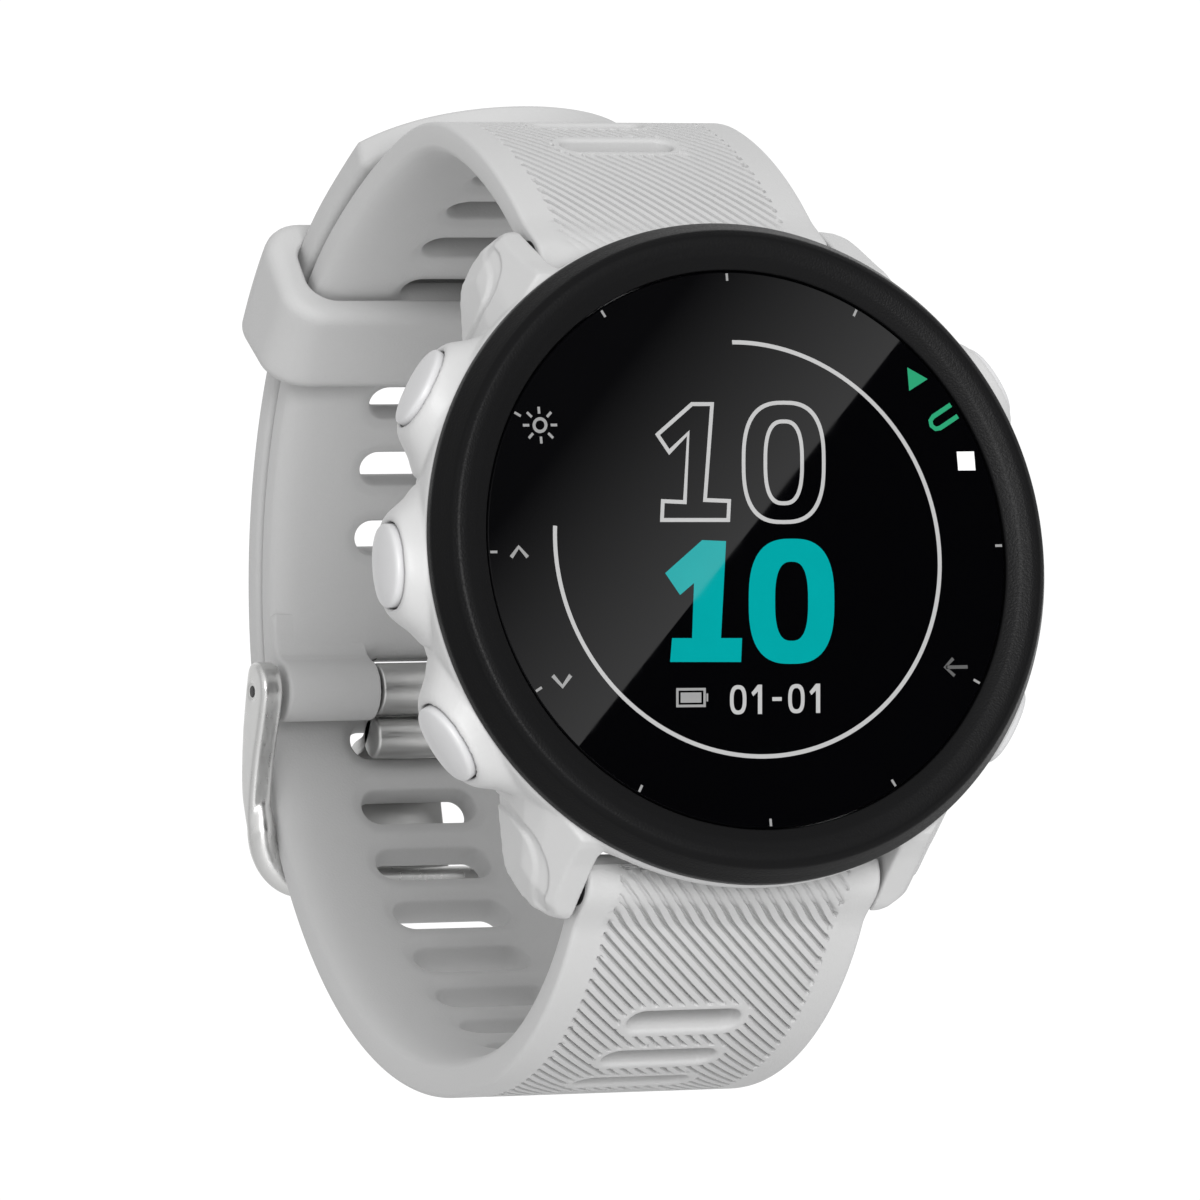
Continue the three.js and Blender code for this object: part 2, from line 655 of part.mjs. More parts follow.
// Steel frame: two arms from the pin past the strap's edges, and a bow across its outside.
function buckleFrame() {
  const [bowY, bowZ] = beside(BOW_PLACE, BOW_OFFSET);
  const armOutline = [
    [PIN.y - 1.9, PIN.z + 0.9], [PIN.y - 1.0, PIN.z + 1.8], [PIN.y + 0.4, PIN.z + 1.8],
    [PIN.y + 1.6, PIN.z - 0.4], [PIN.y + 2.6, PIN.z - 2.9], [PIN.y + 3.4, PIN.z - 6.4],
    [PIN.y + 3.5, PIN.z - 9.6], [bowY + 0.95, bowZ - 0.2], [bowY - 0.4, bowZ - 0.95],
    [bowY - 1.0, bowZ + 0.5], [PIN.y + 1.5, PIN.z - 9.4], [PIN.y + 1.3, PIN.z - 7.0],
    [PIN.y + 0.4, PIN.z - 4.6], [PIN.y - 1.2, PIN.z - 2.0], [PIN.y - 2.0, PIN.z - 0.3],
  ];
  const arm = (from, to) => slab(armOutline, from, to, 0.3);
  return cut(
    joined(
      arm(ARM_INNER_X, ARM_OUTER_X),
      arm(-ARM_OUTER_X, -ARM_INNER_X),
      rod(BOW_RADIUS, -ARM_OUTER_X + 0.5, ARM_OUTER_X - 0.5, bowY, bowZ, 20),
    ),
    rod(PIN_RADIUS + 0.12, -13, 13, PIN.y, PIN.z),
    bowCorner(1),
    bowCorner(-1),
  );
}

// Wide steel tongue: an eye round the pin, a bend through one slot, a straight blade over the bow.
function buckleTongue() {
  const half = 0.5;
  const centre = [
    [PIN.y + 0.9, PIN.z - 1.3],
    beside(TONGUE_SLOT, 0.2),
    beside(TONGUE_SLOT + 0.2, 2.6),
    beside(TONGUE_SLOT + 2.2, 4.0),
    beside(BOW_PLACE - 0.4, BOW_OFFSET + BOW_RADIUS + 0.8),
    beside(BOW_PLACE + 1.4, BOW_OFFSET + BOW_RADIUS + 0.8),
  ].map(([y, z]) => new THREE.Vector2(y, z));
  const edge = (side) => centre.map((point, i) => {
    const before = centre[Math.max(0, i - 1)];
    const after = centre[Math.min(centre.length - 1, i + 1)];
    const along = after.clone().sub(before).normalize();
    return [point.x - side * half * along.y, point.y + side * half * along.x];
  });
  const blade = slab([...edge(1), ...edge(-1).reverse()], -TONGUE_WIDTH / 2, TONGUE_WIDTH / 2);
  return cut(
    rod(1.75, -TONGUE_WIDTH / 2, TONGUE_WIDTH / 2, PIN.y, PIN.z, 24).add(blade),
    rod(PIN_RADIUS + 0.12, -13, 13, PIN.y, PIN.z),
  );
}

// ---------------------------------------------------------------- assembly

const watch = new THREE.Group();
watch.name = 'gps_running_watch';

const glass = new THREE.MeshStandardMaterial({ color: 0x101214, roughness: 0.08 });
watch.add(
  part('case_middle', caseMiddle(), WHITE_POLYMER()),
  part('bezel', bezel(), BLACK_POLYMER()),
  part('lens', disc(LENS_RADIUS, LENS_FRONT_Y, -9.9, CASE_ROUND), glass),
  part('lens_gasket', ring(16.5, 17.4, -9.75, -9.35), RUBBER()),
  part('display_panel', disc(14.2, -9.7, -8.8), material(0x0c0c0d, 0.3)),
  part('display_backlight', disc(14.2, -8.65, -8.15), material(0xe8e8e2, 0.6)),
  part('display_holder', displayHolder(), BLACK_POLYMER()),
  part('gps_antenna', gpsAntenna(), material(0xb8935a, 0.4, 1)),
  part('main_board', mainBoard(), material(0x1d4a33, 0.6)),
  part('processor_shield', block([-6.5, -6.6, -2.6], [6.5, -5.6, 1.8]), STEEL()),
  part('beeper', discAt(0, 7.0, 4.2, -6.6, -5.8, 28), material(0xb5964f, 0.4, 1)),
  part('vibration_motor_housing', motorHousing(), STEEL()),
  part('vibration_motor_rotor', motorRotor(), material(0x6e6e70, 0.4, 1)),
  part('chassis', chassis(), BLACK_POLYMER()),
  part('battery', battery(), material(0x9aa0a6, 0.5)),
  part('sensor_board', sensorBoard(), material(0x15361f, 0.6)),
  part('sensor_window', disc(WINDOW_RADIUS, -0.8, 0), material(0x08080a, 0.1)),
  part('back_cover', backCover(), BLACK_POLYMER()),
  part('back_gasket', ring(16.3, 16.8, -2.5, -2.25), RUBBER()),
);
SCREW_ANGLES.forEach((angle, i) => {
  watch.add(part(`back_screw_${i + 1}`, backScrew(...screwPlace(angle)), STEEL()));
});
CONTACTS_X.forEach((x, i) => {
  watch.add(part(`charging_contact_${i + 1}`, chargingContact(x), material(0xc9a557, 0.3, 1)));
});
for (const button of BUTTONS) watch.add(buttonGroup(button));
for (const [end, side] of END_NAMES) {
  watch.add(
    part(`spring_bar_${end}`, springBar(side), STEEL()),
    part(`release_pin_${end}`, releasePin(side), STEEL()),
  );
}
watch.add(
  part('strap_upper', strapUpper(), SILICONE()),
  part('strap_lower', strapLower(), SILICONE()),
  part('strap_keeper', keeper(), SILICONE()),
  part('buckle_frame', buckleFrame(), STEEL()),
  part('buckle_tongue', buckleTongue(), STEEL()),
  part('buckle_pin', rod(PIN_RADIUS, -11.9, 11.9, PIN.y, PIN.z), STEEL()),
);

export default watch;
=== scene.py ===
import json
import math

import bmesh
import bpy
import numpy as np
from mathutils import Matrix, Vector
from mathutils.geometry import delaunay_2d_cdt, tessellate_polygon


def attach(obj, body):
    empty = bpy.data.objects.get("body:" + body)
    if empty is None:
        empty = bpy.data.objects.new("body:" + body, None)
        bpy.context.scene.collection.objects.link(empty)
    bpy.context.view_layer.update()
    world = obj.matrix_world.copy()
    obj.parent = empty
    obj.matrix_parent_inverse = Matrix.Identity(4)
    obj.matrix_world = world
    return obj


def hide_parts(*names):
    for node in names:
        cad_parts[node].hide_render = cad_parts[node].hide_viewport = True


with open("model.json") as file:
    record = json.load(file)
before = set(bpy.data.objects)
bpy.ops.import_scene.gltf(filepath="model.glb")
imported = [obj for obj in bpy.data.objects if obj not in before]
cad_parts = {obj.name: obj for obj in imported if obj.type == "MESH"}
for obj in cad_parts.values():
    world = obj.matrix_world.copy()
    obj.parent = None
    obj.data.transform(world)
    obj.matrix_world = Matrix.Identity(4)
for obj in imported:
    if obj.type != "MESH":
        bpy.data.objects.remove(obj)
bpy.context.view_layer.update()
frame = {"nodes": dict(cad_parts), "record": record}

# Lengths below are millimetres in the CAD frame: the dial faces -Y, 12 o'clock is +Z, 3 o'clock is +X.
MM = 0.001
NODES = frame["nodes"]


# ---- materials

def node(tree, kind, inputs=None, **settings):
    """A new shader node. An input is given a value, or another node's output to link to."""
    made = tree.nodes.new(kind)
    for key, value in settings.items():
        setattr(made, key, value)
    for key, value in (inputs or {}).items():
        if isinstance(value, bpy.types.NodeSocket):
            tree.links.new(value, made.inputs[key])
        else:
            made.inputs[key].default_value = value
    return made


def finish(name, color, roughness, metallic=0.0, mottle=0.04, cloud=6.0, grain=0.12, bump=0.012,
           spread=0.06, stretch=(1, 1, 1), **shader):
    """A moulded, coated or brushed surface: cloudy colour, grainy roughness and a fine bump.
    cloud and grain are the sizes of the mottling and of the grain, bump is its height, all in mm."""
    made = bpy.data.materials.new(name)
    made.use_nodes = True
    tree = made.node_tree
    surface = tree.nodes["Principled BSDF"]
    surface.inputs["Metallic"].default_value = metallic
    for key, value in shader.items():
        surface.inputs[key.replace("_", " ")].default_value = value
    place = node(tree, "ShaderNodeTexCoord").outputs["Object"]
    size = node(tree, "ShaderNodeMapping", {"Vector": place, "Scale": stretch}).outputs["Vector"]
    clouds = node(tree, "ShaderNodeTexNoise", {"Vector": place, "Scale": 1000 / cloud, "Detail": 3.0})
    grains = node(tree, "ShaderNodeTexNoise", {"Vector": size, "Scale": 1000 / grain, "Detail": 2.0})
    half = node(tree, "ShaderNodeMath", {0: clouds.outputs["Fac"], 1: 0.5}, operation="MULTIPLY")
    both = node(tree, "ShaderNodeMath", {0: grains.outputs["Fac"], 1: 0.5, 2: half.outputs[0]},
                operation="MULTIPLY_ADD")
    low, high = ([c * (1 + side * mottle) for c in color] + [1] for side in (-1, 1))
    tint = node(tree, "ShaderNodeMix", {0: both.outputs[0], 6: low, 7: high}, data_type="RGBA")
    rough = node(tree, "ShaderNodeMapRange", {
        "Value": grains.outputs["Fac"], "From Min": 0.3, "From Max": 0.7,
        "To Min": max(0.002, roughness - spread), "To Max": min(1, roughness + spread)})
    relief = node(tree, "ShaderNodeBump", {"Height": grains.outputs["Fac"], "Strength": 1.0,
                                           "Distance": bump * MM})
    tree.links.new(tint.outputs[2], surface.inputs["Base Color"])
    tree.links.new(rough.outputs["Result"], surface.inputs["Roughness"])
    tree.links.new(relief.outputs["Normal"], surface.inputs["Normal"])
    return made


def grey(level):
    """Linear value of a grey given as 0-255."""
    c = level / 255
    return ((c + 0.055) / 1.055) ** 2.4 if c > 0.04045 else c / 12.92


def rgb(r, g, b):
    return tuple(grey(c) for c in (r, g, b))


SILICONE = finish("silicone", rgb(185, 185, 185), 0.58, mottle=0.035, grain=0.16, bump=0.016,
                  Specular_IOR_Level=0.35, Sheen_Weight=0.08, Sheen_Roughness=0.5)
POLYMER = finish("white_polymer", rgb(188, 188, 188), 0.42, mottle=0.02, grain=0.1, bump=0.007,
                 Specular_IOR_Level=0.45)
CAP = finish("button_polymer", rgb(194, 194, 195), 0.36, mottle=0.02, grain=0.1, bump=0.005,
             Specular_IOR_Level=0.5)
BEZEL = finish("bezel_polymer", rgb(6, 6, 7), 0.4, mottle=0.2, grain=0.13, bump=0.02,
               cloud=3.0, Specular_IOR_Level=0.12)
GLASS = finish("black_glass", rgb(3, 3, 4), 0.006, mottle=0.1, grain=2.0, bump=0.00001, spread=0.003,
               Specular_IOR_Level=0.5)
STEEL = finish("brushed_steel", rgb(200, 200, 199), 0.36, metallic=1.0, mottle=0.05, grain=0.12,
               bump=0.003, stretch=(0.12, 1, 1), spread=0.08)
BRIGHT = finish("satin_steel", rgb(212, 212, 211), 0.32, metallic=1.0, mottle=0.05, grain=0.2,
                bump=0.004, stretch=(1, 0.2, 0.2), spread=0.06)
BLACK = finish("black_polymer", rgb(30, 30, 31), 0.5, mottle=0.15, grain=0.14, bump=0.02)
RUBBER = finish("black_rubber", rgb(26, 26, 26), 0.75, mottle=0.12, grain=0.2, bump=0.02)
WINDOW = finish("sensor_glass", rgb(6, 5, 7), 0.06, mottle=0.3, cloud=4.0, grain=2.0, bump=0.0001,
                spread=0.02)
DISPLAY = finish("display_glass", rgb(10, 10, 12), 0.25, mottle=0.2, grain=0.2, bump=0.002)
FILM = finish("white_film", rgb(232, 232, 226), 0.55, mottle=0.03, grain=0.3, bump=0.004)
BOARD = finish("solder_mask", rgb(24, 74, 50), 0.42, mottle=0.25, cloud=1.6, grain=0.3, bump=0.02)
BRASS = finish("brass", rgb(190, 158, 92), 0.34, metallic=1.0, mottle=0.1, grain=0.3, bump=0.008)
COPPER = finish("antenna_foil", rgb(192, 140, 92), 0.36, metallic=1.0, mottle=0.1, grain=0.3,
                bump=0.008)
TUNGSTEN = finish("sintered_metal", rgb(112, 112, 114), 0.45, metallic=1.0, mottle=0.15, grain=0.2,
                  bump=0.02)
FOIL = finish("cell_foil", rgb(162, 166, 172), 0.4, metallic=0.8, mottle=0.1, grain=0.8, bump=0.03)
GOLD = finish("gold_plating", rgb(214, 172, 92), 0.26, metallic=1.0, mottle=0.06, grain=0.15, bump=0.004)

BY_SLOT = {
    "case": POLYMER, "bezel": BEZEL, "lens": GLASS, "display": DISPLAY, "white_film": FILM,
    "black_polymer": BLACK, "antenna": COPPER, "circuit_board": BOARD, "steel": STEEL, "beeper": BRASS,
    "motor_weight": TUNGSTEN, "battery_foil": FOIL, "sensor_window": WINDOW, "back_cover": BLACK,
    "contact_gold": GOLD, "black_rubber": RUBBER, "button": CAP, "strap": SILICONE, "buckle_steel": BRIGHT,
}


def glowing(name, color, emission):
    """A dial marking seen through the cover glass: it has the glass's own gloss over its colour, and its
    colour also glows faintly by emission, a painted glow, as the marking is no lamp.
    """
    made = finish(name, color, 0.008, mottle=0.05, cloud=2.0, grain=2.0, bump=0.00001, spread=0.003)
    surface = made.node_tree.nodes["Principled BSDF"]
    # painted glow: the printed marking emits its own colour
    surface.inputs["Emission Color"].default_value = (*color, 1)
    surface.inputs["Emission Strength"].default_value = emission
    return made


# ---- meshes

def in_scene(name, points, faces):
    """A mesh object in the scene."""
    mesh = bpy.data.meshes.new(name)
    mesh.from_pydata((np.asarray(points, float) * MM).tolist(), [], [list(map(int, f)) for f in faces])
    made = bpy.data.objects.new(name, mesh)
    bpy.context.scene.collection.objects.link(made)
    return made


def clean(mesh):
    """Merges doubled points and turns every face outwards."""
    work = bmesh.new()
    work.from_mesh(mesh)
    bmesh.ops.remove_doubles(work, verts=work.verts, dist=1e-7)
    bmesh.ops.recalc_face_normals(work, faces=work.faces)
    work.to_mesh(mesh)
    work.free()


def settle(made, name, look, body, stands_for=(), sharp=35):
    """Finishes a piece: its name, shading and material, and the body and nodes it belongs to.
    Edges stay sharp where the faces turn by more than the angle sharp."""
    mesh = made.data
    made.name = mesh.name = name
    clean(mesh)
    mesh.polygons.foreach_set("use_smooth", [True] * len(mesh.polygons))
    mesh.set_sharp_from_angle(angle=math.radians(sharp))
    mesh.materials.clear()
    mesh.materials.append(look)
    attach(made, body)
    if stands_for:
        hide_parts(*stands_for)
    return made


def piece(name, points, faces, look, body, slot, stands_for=(), sharp=35):
    return settle(in_scene(name, points, faces), name, look, body, stands_for, sharp)


def stitched(rings, closed=False):
    """A skin over rings of points with the same count. The last ring joins the first in a closed one,
    and otherwise both ends are capped."""
    rings = [np.asarray(r, float) for r in rings]
    size, count = len(rings[0]), len(rings)
    faces = []
    for r in range(count if closed else count - 1):
        a, b = r * size, ((r + 1) % count) * size
        for i in range(size):
            j = (i + 1) % size
            faces.append((a + i, a + j, b + j, b + i))
    if not closed:
        faces.append(tuple(range(size))[::-1])
        faces.append(tuple((count - 1) * size + i for i in range(size)))
    return np.concatenate(rings), faces


def turned(profile, sides=256):
    """A closed profile of (radius, y) turned about the dial's axis."""
    angles = np.arange(sides) * 2 * math.pi / sides
    rings = [np.c_[r * np.sin(angles), np.full(sides, y), r * np.cos(angles)] for r, y in profile]
    return stitched(rings, closed=True)


def rounded(profile, radius, steps=4):
    """A closed profile with each corner turned into a short curve."""
    points = [np.array(p, float) for p in profile]
    out = []
    for i, p in enumerate(points):
        a, b = points[i - 1] - p, points[(i + 1) % len(points)] - p
        la, lb = np.linalg.norm(a), np.linalg.norm(b)
        cut = min(radius, la * 0.45, lb * 0.45)
        a, b = p + a / la * cut, p + b / lb * cut
        for t in np.linspace(0, 1, steps):
            out.append(tuple((1 - t) ** 2 * a + 2 * t * (1 - t) * p + t ** 2 * b))
    return out


def smooth_curve(points, spacing, closed=False, before=None):
    """A Catmull-Rom curve through the points; before is a point it comes from."""
    p = np.asarray(points, float)
    if closed:
        p = np.r_[p[-1:], p, p[:2]]
    else:
        first = 2 * p[:1] - p[1:2] if before is None else np.reshape(before, (1, 2))
        p = np.r_[first, p, 2 * p[-1:] - p[-2:-1]]
    out = []
    for a, b, c, d in zip(p, p[1:], p[2:], p[3:]):
        steps = max(2, int(np.linalg.norm(c - b) / spacing))
        t = (np.arange(steps) / steps)[:, None]
        out.append(0.5 * (2 * b + (c - a) * t + (2 * a - 5 * b + 4 * c - d) * t ** 2
                          + (3 * b - a - 3 * c + d) * t ** 3))
    if not closed:
        out.append(p[-2:-1])
    return np.concatenate(out)


def winding(p):
    """1 for a counter-clockwise outline, -1 for a clockwise one."""
    doubled_area = np.sum(p[:, 0] * np.roll(p[:, 1], -1) - np.roll(p[:, 0], -1) * p[:, 1])
    return 1 if doubled_area > 0 else -1


def unit(vectors):
    return vectors / np.linalg.norm(vectors, axis=1)[:, None]


def directions(path):
    """Unit vectors along a path."""
    return unit(np.gradient(np.asarray(path, float), axis=0))


def left_of(vectors):
    return np.c_[-vectors[:, 1], vectors[:, 0]]


def inward(outline, distance):
    """A closed outline moved to its inside by that distance."""
    p = np.asarray(outline, float)
    along = unit(np.roll(p, -1, 0) - np.roll(p, 1, 0))
    return p + left_of(along) * winding(p) * distance


def superellipse(half_a, half_b, power, count):
    a = np.arange(count) * 2 * math.pi / count
    c, s = np.cos(a), np.sin(a)
    return np.c_[half_a * np.sign(c) * np.abs(c) ** (2 / power),
                 half_b * np.sign(s) * np.abs(s) ** (2 / power)]


def pushed(outline, x_from, x_to, radius, steps=5):
    """An outline of (y, z) pushed along X with rounded edges."""
    quarter = np.linspace(0, math.pi / 2, steps)
    rings = []
    for angle in quarter:
        flat = inward(outline, radius * (1 - math.sin(angle)))
        rings.append(np.c_[np.full(len(flat), x_from + radius * (1 - math.cos(angle))), flat])
    for angle in quarter[::-1]:
        flat = inward(outline, radius * (1 - math.sin(angle)))
        rings.append(np.c_[np.full(len(flat), x_to - radius * (1 - math.cos(angle))), flat])
    return stitched(rings)


def together(*parts):
    """Several (points, faces) as one."""
    points, faces, start = [], [], 0
    for p, f in parts:
        points.append(np.asarray(p, float))
        faces += [tuple(start + i for i in face) for face in f]
        start += len(p)
    return np.concatenate(points), faces


def rod(radius, x_from, x_to, y, z, edge=0.15, sides=64):
    """A round bar along X with rounded ends."""
    angles = np.arange(sides) * 2 * math.pi / sides
    circle = np.c_[y + radius * np.cos(angles), z + radius * np.sin(angles)]
    return pushed(circle, x_from, x_to, edge)


def smoothstep(t):
    """0 to 1 with a soft start and end, as t goes from 0 to 1."""
    t = np.clip(t, 0, 1)
    return t * t * (3 - 2 * t)


def temporary(points, faces):
    """A clean solid that is still to be joined, cut or moulded."""
    made = in_scene("temporary", points, faces)
    clean(made.data)
    return made


def baked(thing):
    """Turns the object's modifiers into its mesh."""
    graph = bpy.context.evaluated_depsgraph_get()
    mesh = bpy.data.meshes.new_from_object(thing.evaluated_get(graph))
    thing.modifiers.clear()
    thing.data = mesh


def combine(base, others, operation):
    """Applies the other solids to the base one after another, and removes them."""
    for other in others:
        step = base.modifiers.new("step", "BOOLEAN")
        step.operation = operation
        step.solver = "EXACT"
        step.object = other
        baked(base)
        bpy.data.objects.remove(other)


def moulded(thing, voxel, passes):
    """Remeshes to small even faces and softens every edge, like a moulded part."""
    step = thing.modifiers.new("even", "REMESH")
    step.mode = "VOXEL"
    step.voxel_size = voxel * MM
    if passes:
        soft = thing.modifiers.new("soft", "SMOOTH")
        soft.factor = 0.5
        soft.iterations = passes
    baked(thing)


# ---- the strap's loop

# The fastened straps follow one curve from the upper lugs round to the lower lugs, made of arcs.
LOOP_START = (-3.23, 22.11, 52.3)   # y, z and heading in degrees
LOOP_ARCS = [(13.4, 26.5), (8.9, 33.5), (14.0, 15.2), (13.0, 27.5), (52.5, 101.6), (34.9, 65.9)]
LOOP_LENGTH = sum(length for length, _ in LOOP_ARCS)
THICKNESS = 2.2
STRAP_HALF = 10.0   # half the straps' width
BAR_Y, BAR_Z = -3.2, 19.6   # the spring bars' centres, the lower one at -BAR_Z
NECK, NECK_FROM = 3.2, 0.6   # the necks run from inside the curve's ends to past them
NECK_STEPS = 24
SHORT_END = 71.0   # where the short strap ends at the buckle
TO_LUGS = 114   # where the long strap starts to draw in to the lugs
TAIL_TIP, TAIL_RADIUS = 23.9, 12.0   # where the long strap's tail ends on top, and its rounding
PIN = (43.8, -0.1)   # y and z of the buckle's pin


def loop_at(distance):
    """[y, z] and unit outward normals at distances along the loop."""
    s = np.atleast_1d(np.asarray(distance, float))
    place, heading = np.zeros((len(s), 2)), np.zeros(len(s))
    y, z, turn_from = LOOP_START
    start = 0.0
    for i, (length, turn) in enumerate(LOOP_ARCS):
        here = (s >= start) if i else np.full(len(s), True)
        for step, put in ((s[here] - start, True), (np.array([length]), False)):
            turned_by = turn * step / length
            half = np.radians(turned_by / 2)
            chord = step * np.sinc(half / math.pi)
            way = np.radians(turn_from - turned_by / 2)
            at = np.c_[y + chord * np.cos(way), z + chord * np.sin(way)]
            if put:
                place[here], heading[here] = at, np.radians(turn_from - turned_by)
        (y, z), turn_from, start = at[0], turn_from - turn, start + length
    return place, np.c_[-np.sin(heading), np.cos(heading)]


def beside(distance, offset):
    """[y, z] at distances along the loop, moved outwards by an offset."""
    place, normal = loop_at(distance)
    return place + normal * np.reshape(offset, (-1, 1))


def lower_inner(s):
    """Offset of the long strap's inner face from the loop: over the short strap, then in to the lugs."""
    near_lugs = np.maximum(0, (s - TO_LUGS) / (LOOP_LENGTH - TO_LUGS))
    return 0.15 + 0.25 * (1 - smoothstep((s - TAIL_TIP) / 10)) - 2.0 * near_lugs ** 2.5


class Path:
    """The two faces of a strap against the distance along it, [y, z] tables."""

    def __init__(self, s, outer, inner):
        self.s, self.outer, self.inner = s, outer, inner
        self.out = unit(outer - inner)

    def point(self, x, s, depth, side):
        """Points at a depth below the outer (side 1) or inner (side -1) face."""

        def pick(table):
            return np.c_[np.interp(s, self.s, table[:, 0]), np.interp(s, self.s, table[:, 1])]

        face = self.outer if side > 0 else self.inner
        return np.c_[x, pick(face) - side * pick(self.out) * depth[:, None]]


def neck_faces(side, outer, inner):
    """The neck's outer and inner curves, from the strap's last points to its round end."""

    def evenly(curve):
        steps, have = np.linspace(0, 1, NECK_STEPS), np.linspace(0, 1, len(curve))
        return np.c_[np.interp(steps, have, curve[:, 0]), np.interp(steps, have, curve[:, 1])]

    outer_points = [outer[0], (-4.33, side * 21.08), (-4.95, side * 20.4), (-5.18, side * 19.6),
                    (-4.98, side * 18.75)]
    inner_points = [inner[0], (-1.72, side * 20.5), (-1.45, side * 19.9), (-1.6, side * 19.2)]
    return (evenly(smooth_curve(outer_points, 0.05, before=outer[1])),
            evenly(smooth_curve(inner_points, 0.05, before=inner[1])))


def upper_path():
    s = np.arange(NECK_FROM, SHORT_END + 0.01, 0.2)
    outer, inner = beside(s, -0.15), beside(s, -0.15 - THICKNESS)
    neck_outer, neck_inner = neck_faces(1, outer[[0, 8]], inner[[0, 8]])
    before = np.linspace(-NECK, NECK_FROM, NECK_STEPS)[:-1]
    return Path(np.r_[before, s], np.r_[neck_outer[:0:-1], outer], np.r_[neck_inner[:0:-1], inner])


def lower_path():
    end = LOOP_LENGTH - NECK_FROM
    s = np.arange(TAIL_TIP, end + 0.01, 0.2)
    thicker = 0.35 * smoothstep((s - 80) / 12) * (1 - smoothstep((s - TO_LUGS) / 12))
    inner = beside(s, lower_inner(s) - thicker)
    outer = beside(s, lower_inner(s) + THICKNESS)
    neck_outer, neck_inner = neck_faces(-1, outer[[-1, -9]], inner[[-1, -9]])
    after = np.linspace(end, LOOP_LENGTH + NECK, NECK_STEPS)[1:]
    return Path(np.r_[s, after], np.r_[outer, neck_outer[1:]], np.r_[inner, neck_inner[1:]])


# ---- the straps

SLOT_LENGTH, SLOT_WIDTH = 8.1, 2.4
SLOT_TAPER = 0.2   # the slots are this much narrower all round outside
SHORT_SLOTS = [10.1 + 5.05 * i for i in range(11)]
TAIL_SLOTS = [37.7 + 4.6 * i for i in range(9)]
LONG_SLOTS = TAIL_SLOTS + [79.2 + 4.44 * i for i in range(12)]

# pitch, slope, where the ribs start and end, how far they fade in and out, and depth
SHORT_RIBS = (1.07, -1.32, -2.2, 27.0, 5.0, 0.5, 0.55)
LONG_RIBS = (0.89, -0.97, 47.0, 141.0, 1.5, 3.0, 0.4)
RIB_HALF = 7.8   # half the ribbed field's width
RIB_PHASES = (0.0, 0.09, 0.17, 0.235, 0.5, 0.765, 0.83, 0.91)   # the mesh's lines across one rib
SLOT_BORDER = 0.42   # smooth border between a slot and the ribs

# Widths and heights of rounded edges, outside (1) and inside (-1), and the mesh's steps round a slot.
EDGES = {1: (0.3, 0.3), -1: (2.0, 0.8)}
RIMS = {1: (0.32, 0.26), -1: (0.25, 0.2)}
RIM_STEPS = {1: (0.04, 0.1, 0.18, 0.32), -1: (0.07, 0.15, 0.25, 0.45, 0.7, 0.95)}
SINK, SINK_WIDTH = 0.3, 0.95   # the shallow sink round each slot on the inner face


def slot_outline(at, inset, steps):
    """The outline of the slot at a distance along the strap, smaller all round by inset."""
    radius = SLOT_WIDTH / 2
    angles = np.linspace(-math.pi / 2, math.pi / 2, steps)
    right = np.c_[SLOT_LENGTH / 2 - radius + (radius - inset) * np.cos(angles),
                  (radius - inset) * np.sin(angles)]
    return np.r_[right, -right] + (0, at)


def slot_distance(x, s, slots):
    """Distance outside the nearest slot's edge."""
    nearest = np.full(len(x), 1e3)
    over = np.maximum(0, np.abs(x) - (SLOT_LENGTH - SLOT_WIDTH) / 2)
    for at in slots:
        nearest = np.minimum(nearest, np.hypot(over, s - at))
    return nearest - SLOT_WIDTH / 2


def rolled(distance, width, height):
    """How far a rounded edge has dropped at a distance from it."""
    d = 1 - np.clip(distance / width, 0, 1)
    return height * (1 - np.sqrt(np.maximum(0, 1 - d ** 2)))


def triangles_of(points, loops, keep):
    """Triangles over the points; loops are closed chains of point numbers that stay as edges."""
    edges = [(a, b) for loop in loops for a, b in zip(loop, loop[1:] + loop[:1])]
    result = delaunay_2d_cdt([Vector(p) for p in points.tolist()], edges, [], 0, 1e-6)
    where = np.array([tuple(v) for v in result[0]])
    faces = np.array(result[2])
    middle = where[faces].mean(1)
    faces = faces[keep(middle[:, 0], middle[:, 1])]
    number = {}
    for made, sources in enumerate(result[3]):
        for source in sources:
            number[source] = made
    return where, faces, number


def groove_depth(x, s, slots, ribs):
    """Depth of the grooves between the ribs."""
    pitch, slope, start, end, fade_start, fade_end, deepest = ribs
    phase = (s - slope * x) / pitch
    phase = np.abs(phase - np.round(phase))
    shape = 1 - smoothstep((phase - 0.07) / 0.165)
    mask = smoothstep((RIB_HALF - np.abs(x)) / 0.14 + 0.5)
    mask = mask * smoothstep((slot_distance(x, s, slots) - SLOT_BORDER) / 0.14 + 0.5)
    mask = mask * np.clip((s - start) / fade_start, 0, 1) * np.clip((end - s) / fade_end, 0, 1)
    return deepest * shape * mask


def grid(half, columns, low, high, apart):
    """Points in even rows and columns."""
    xs, ss = np.meshgrid(np.linspace(-half, half, columns), np.arange(low, high, apart))
    return np.c_[xs.ravel(), ss.ravel()]


def rib_lattice(ribs):
    """Points on slanted lines that run along the ribs."""
    pitch, slope, start, end = ribs[:4]
    cosine = 1 / math.hypot(1, slope)
    beyond, margin = 16, 14
    along = np.arange(slope * cosine * (end + beyond) - margin,
                      slope * cosine * (start - beyond) + margin, 0.4)
    lines = np.arange(math.floor((start - margin) / pitch), math.ceil((end + margin) / pitch))
    across = (lines[:, None] + np.array(RIB_PHASES)).ravel() * pitch
    c, t = np.meshgrid(across, along)
    x = ((t - c * cosine * slope) * cosine).ravel()
    s = c.ravel() + slope * x
    inside = (np.abs(x) < RIB_HALF - 0.12) & (s > start) & (s < end)
    return np.c_[x, s][inside]


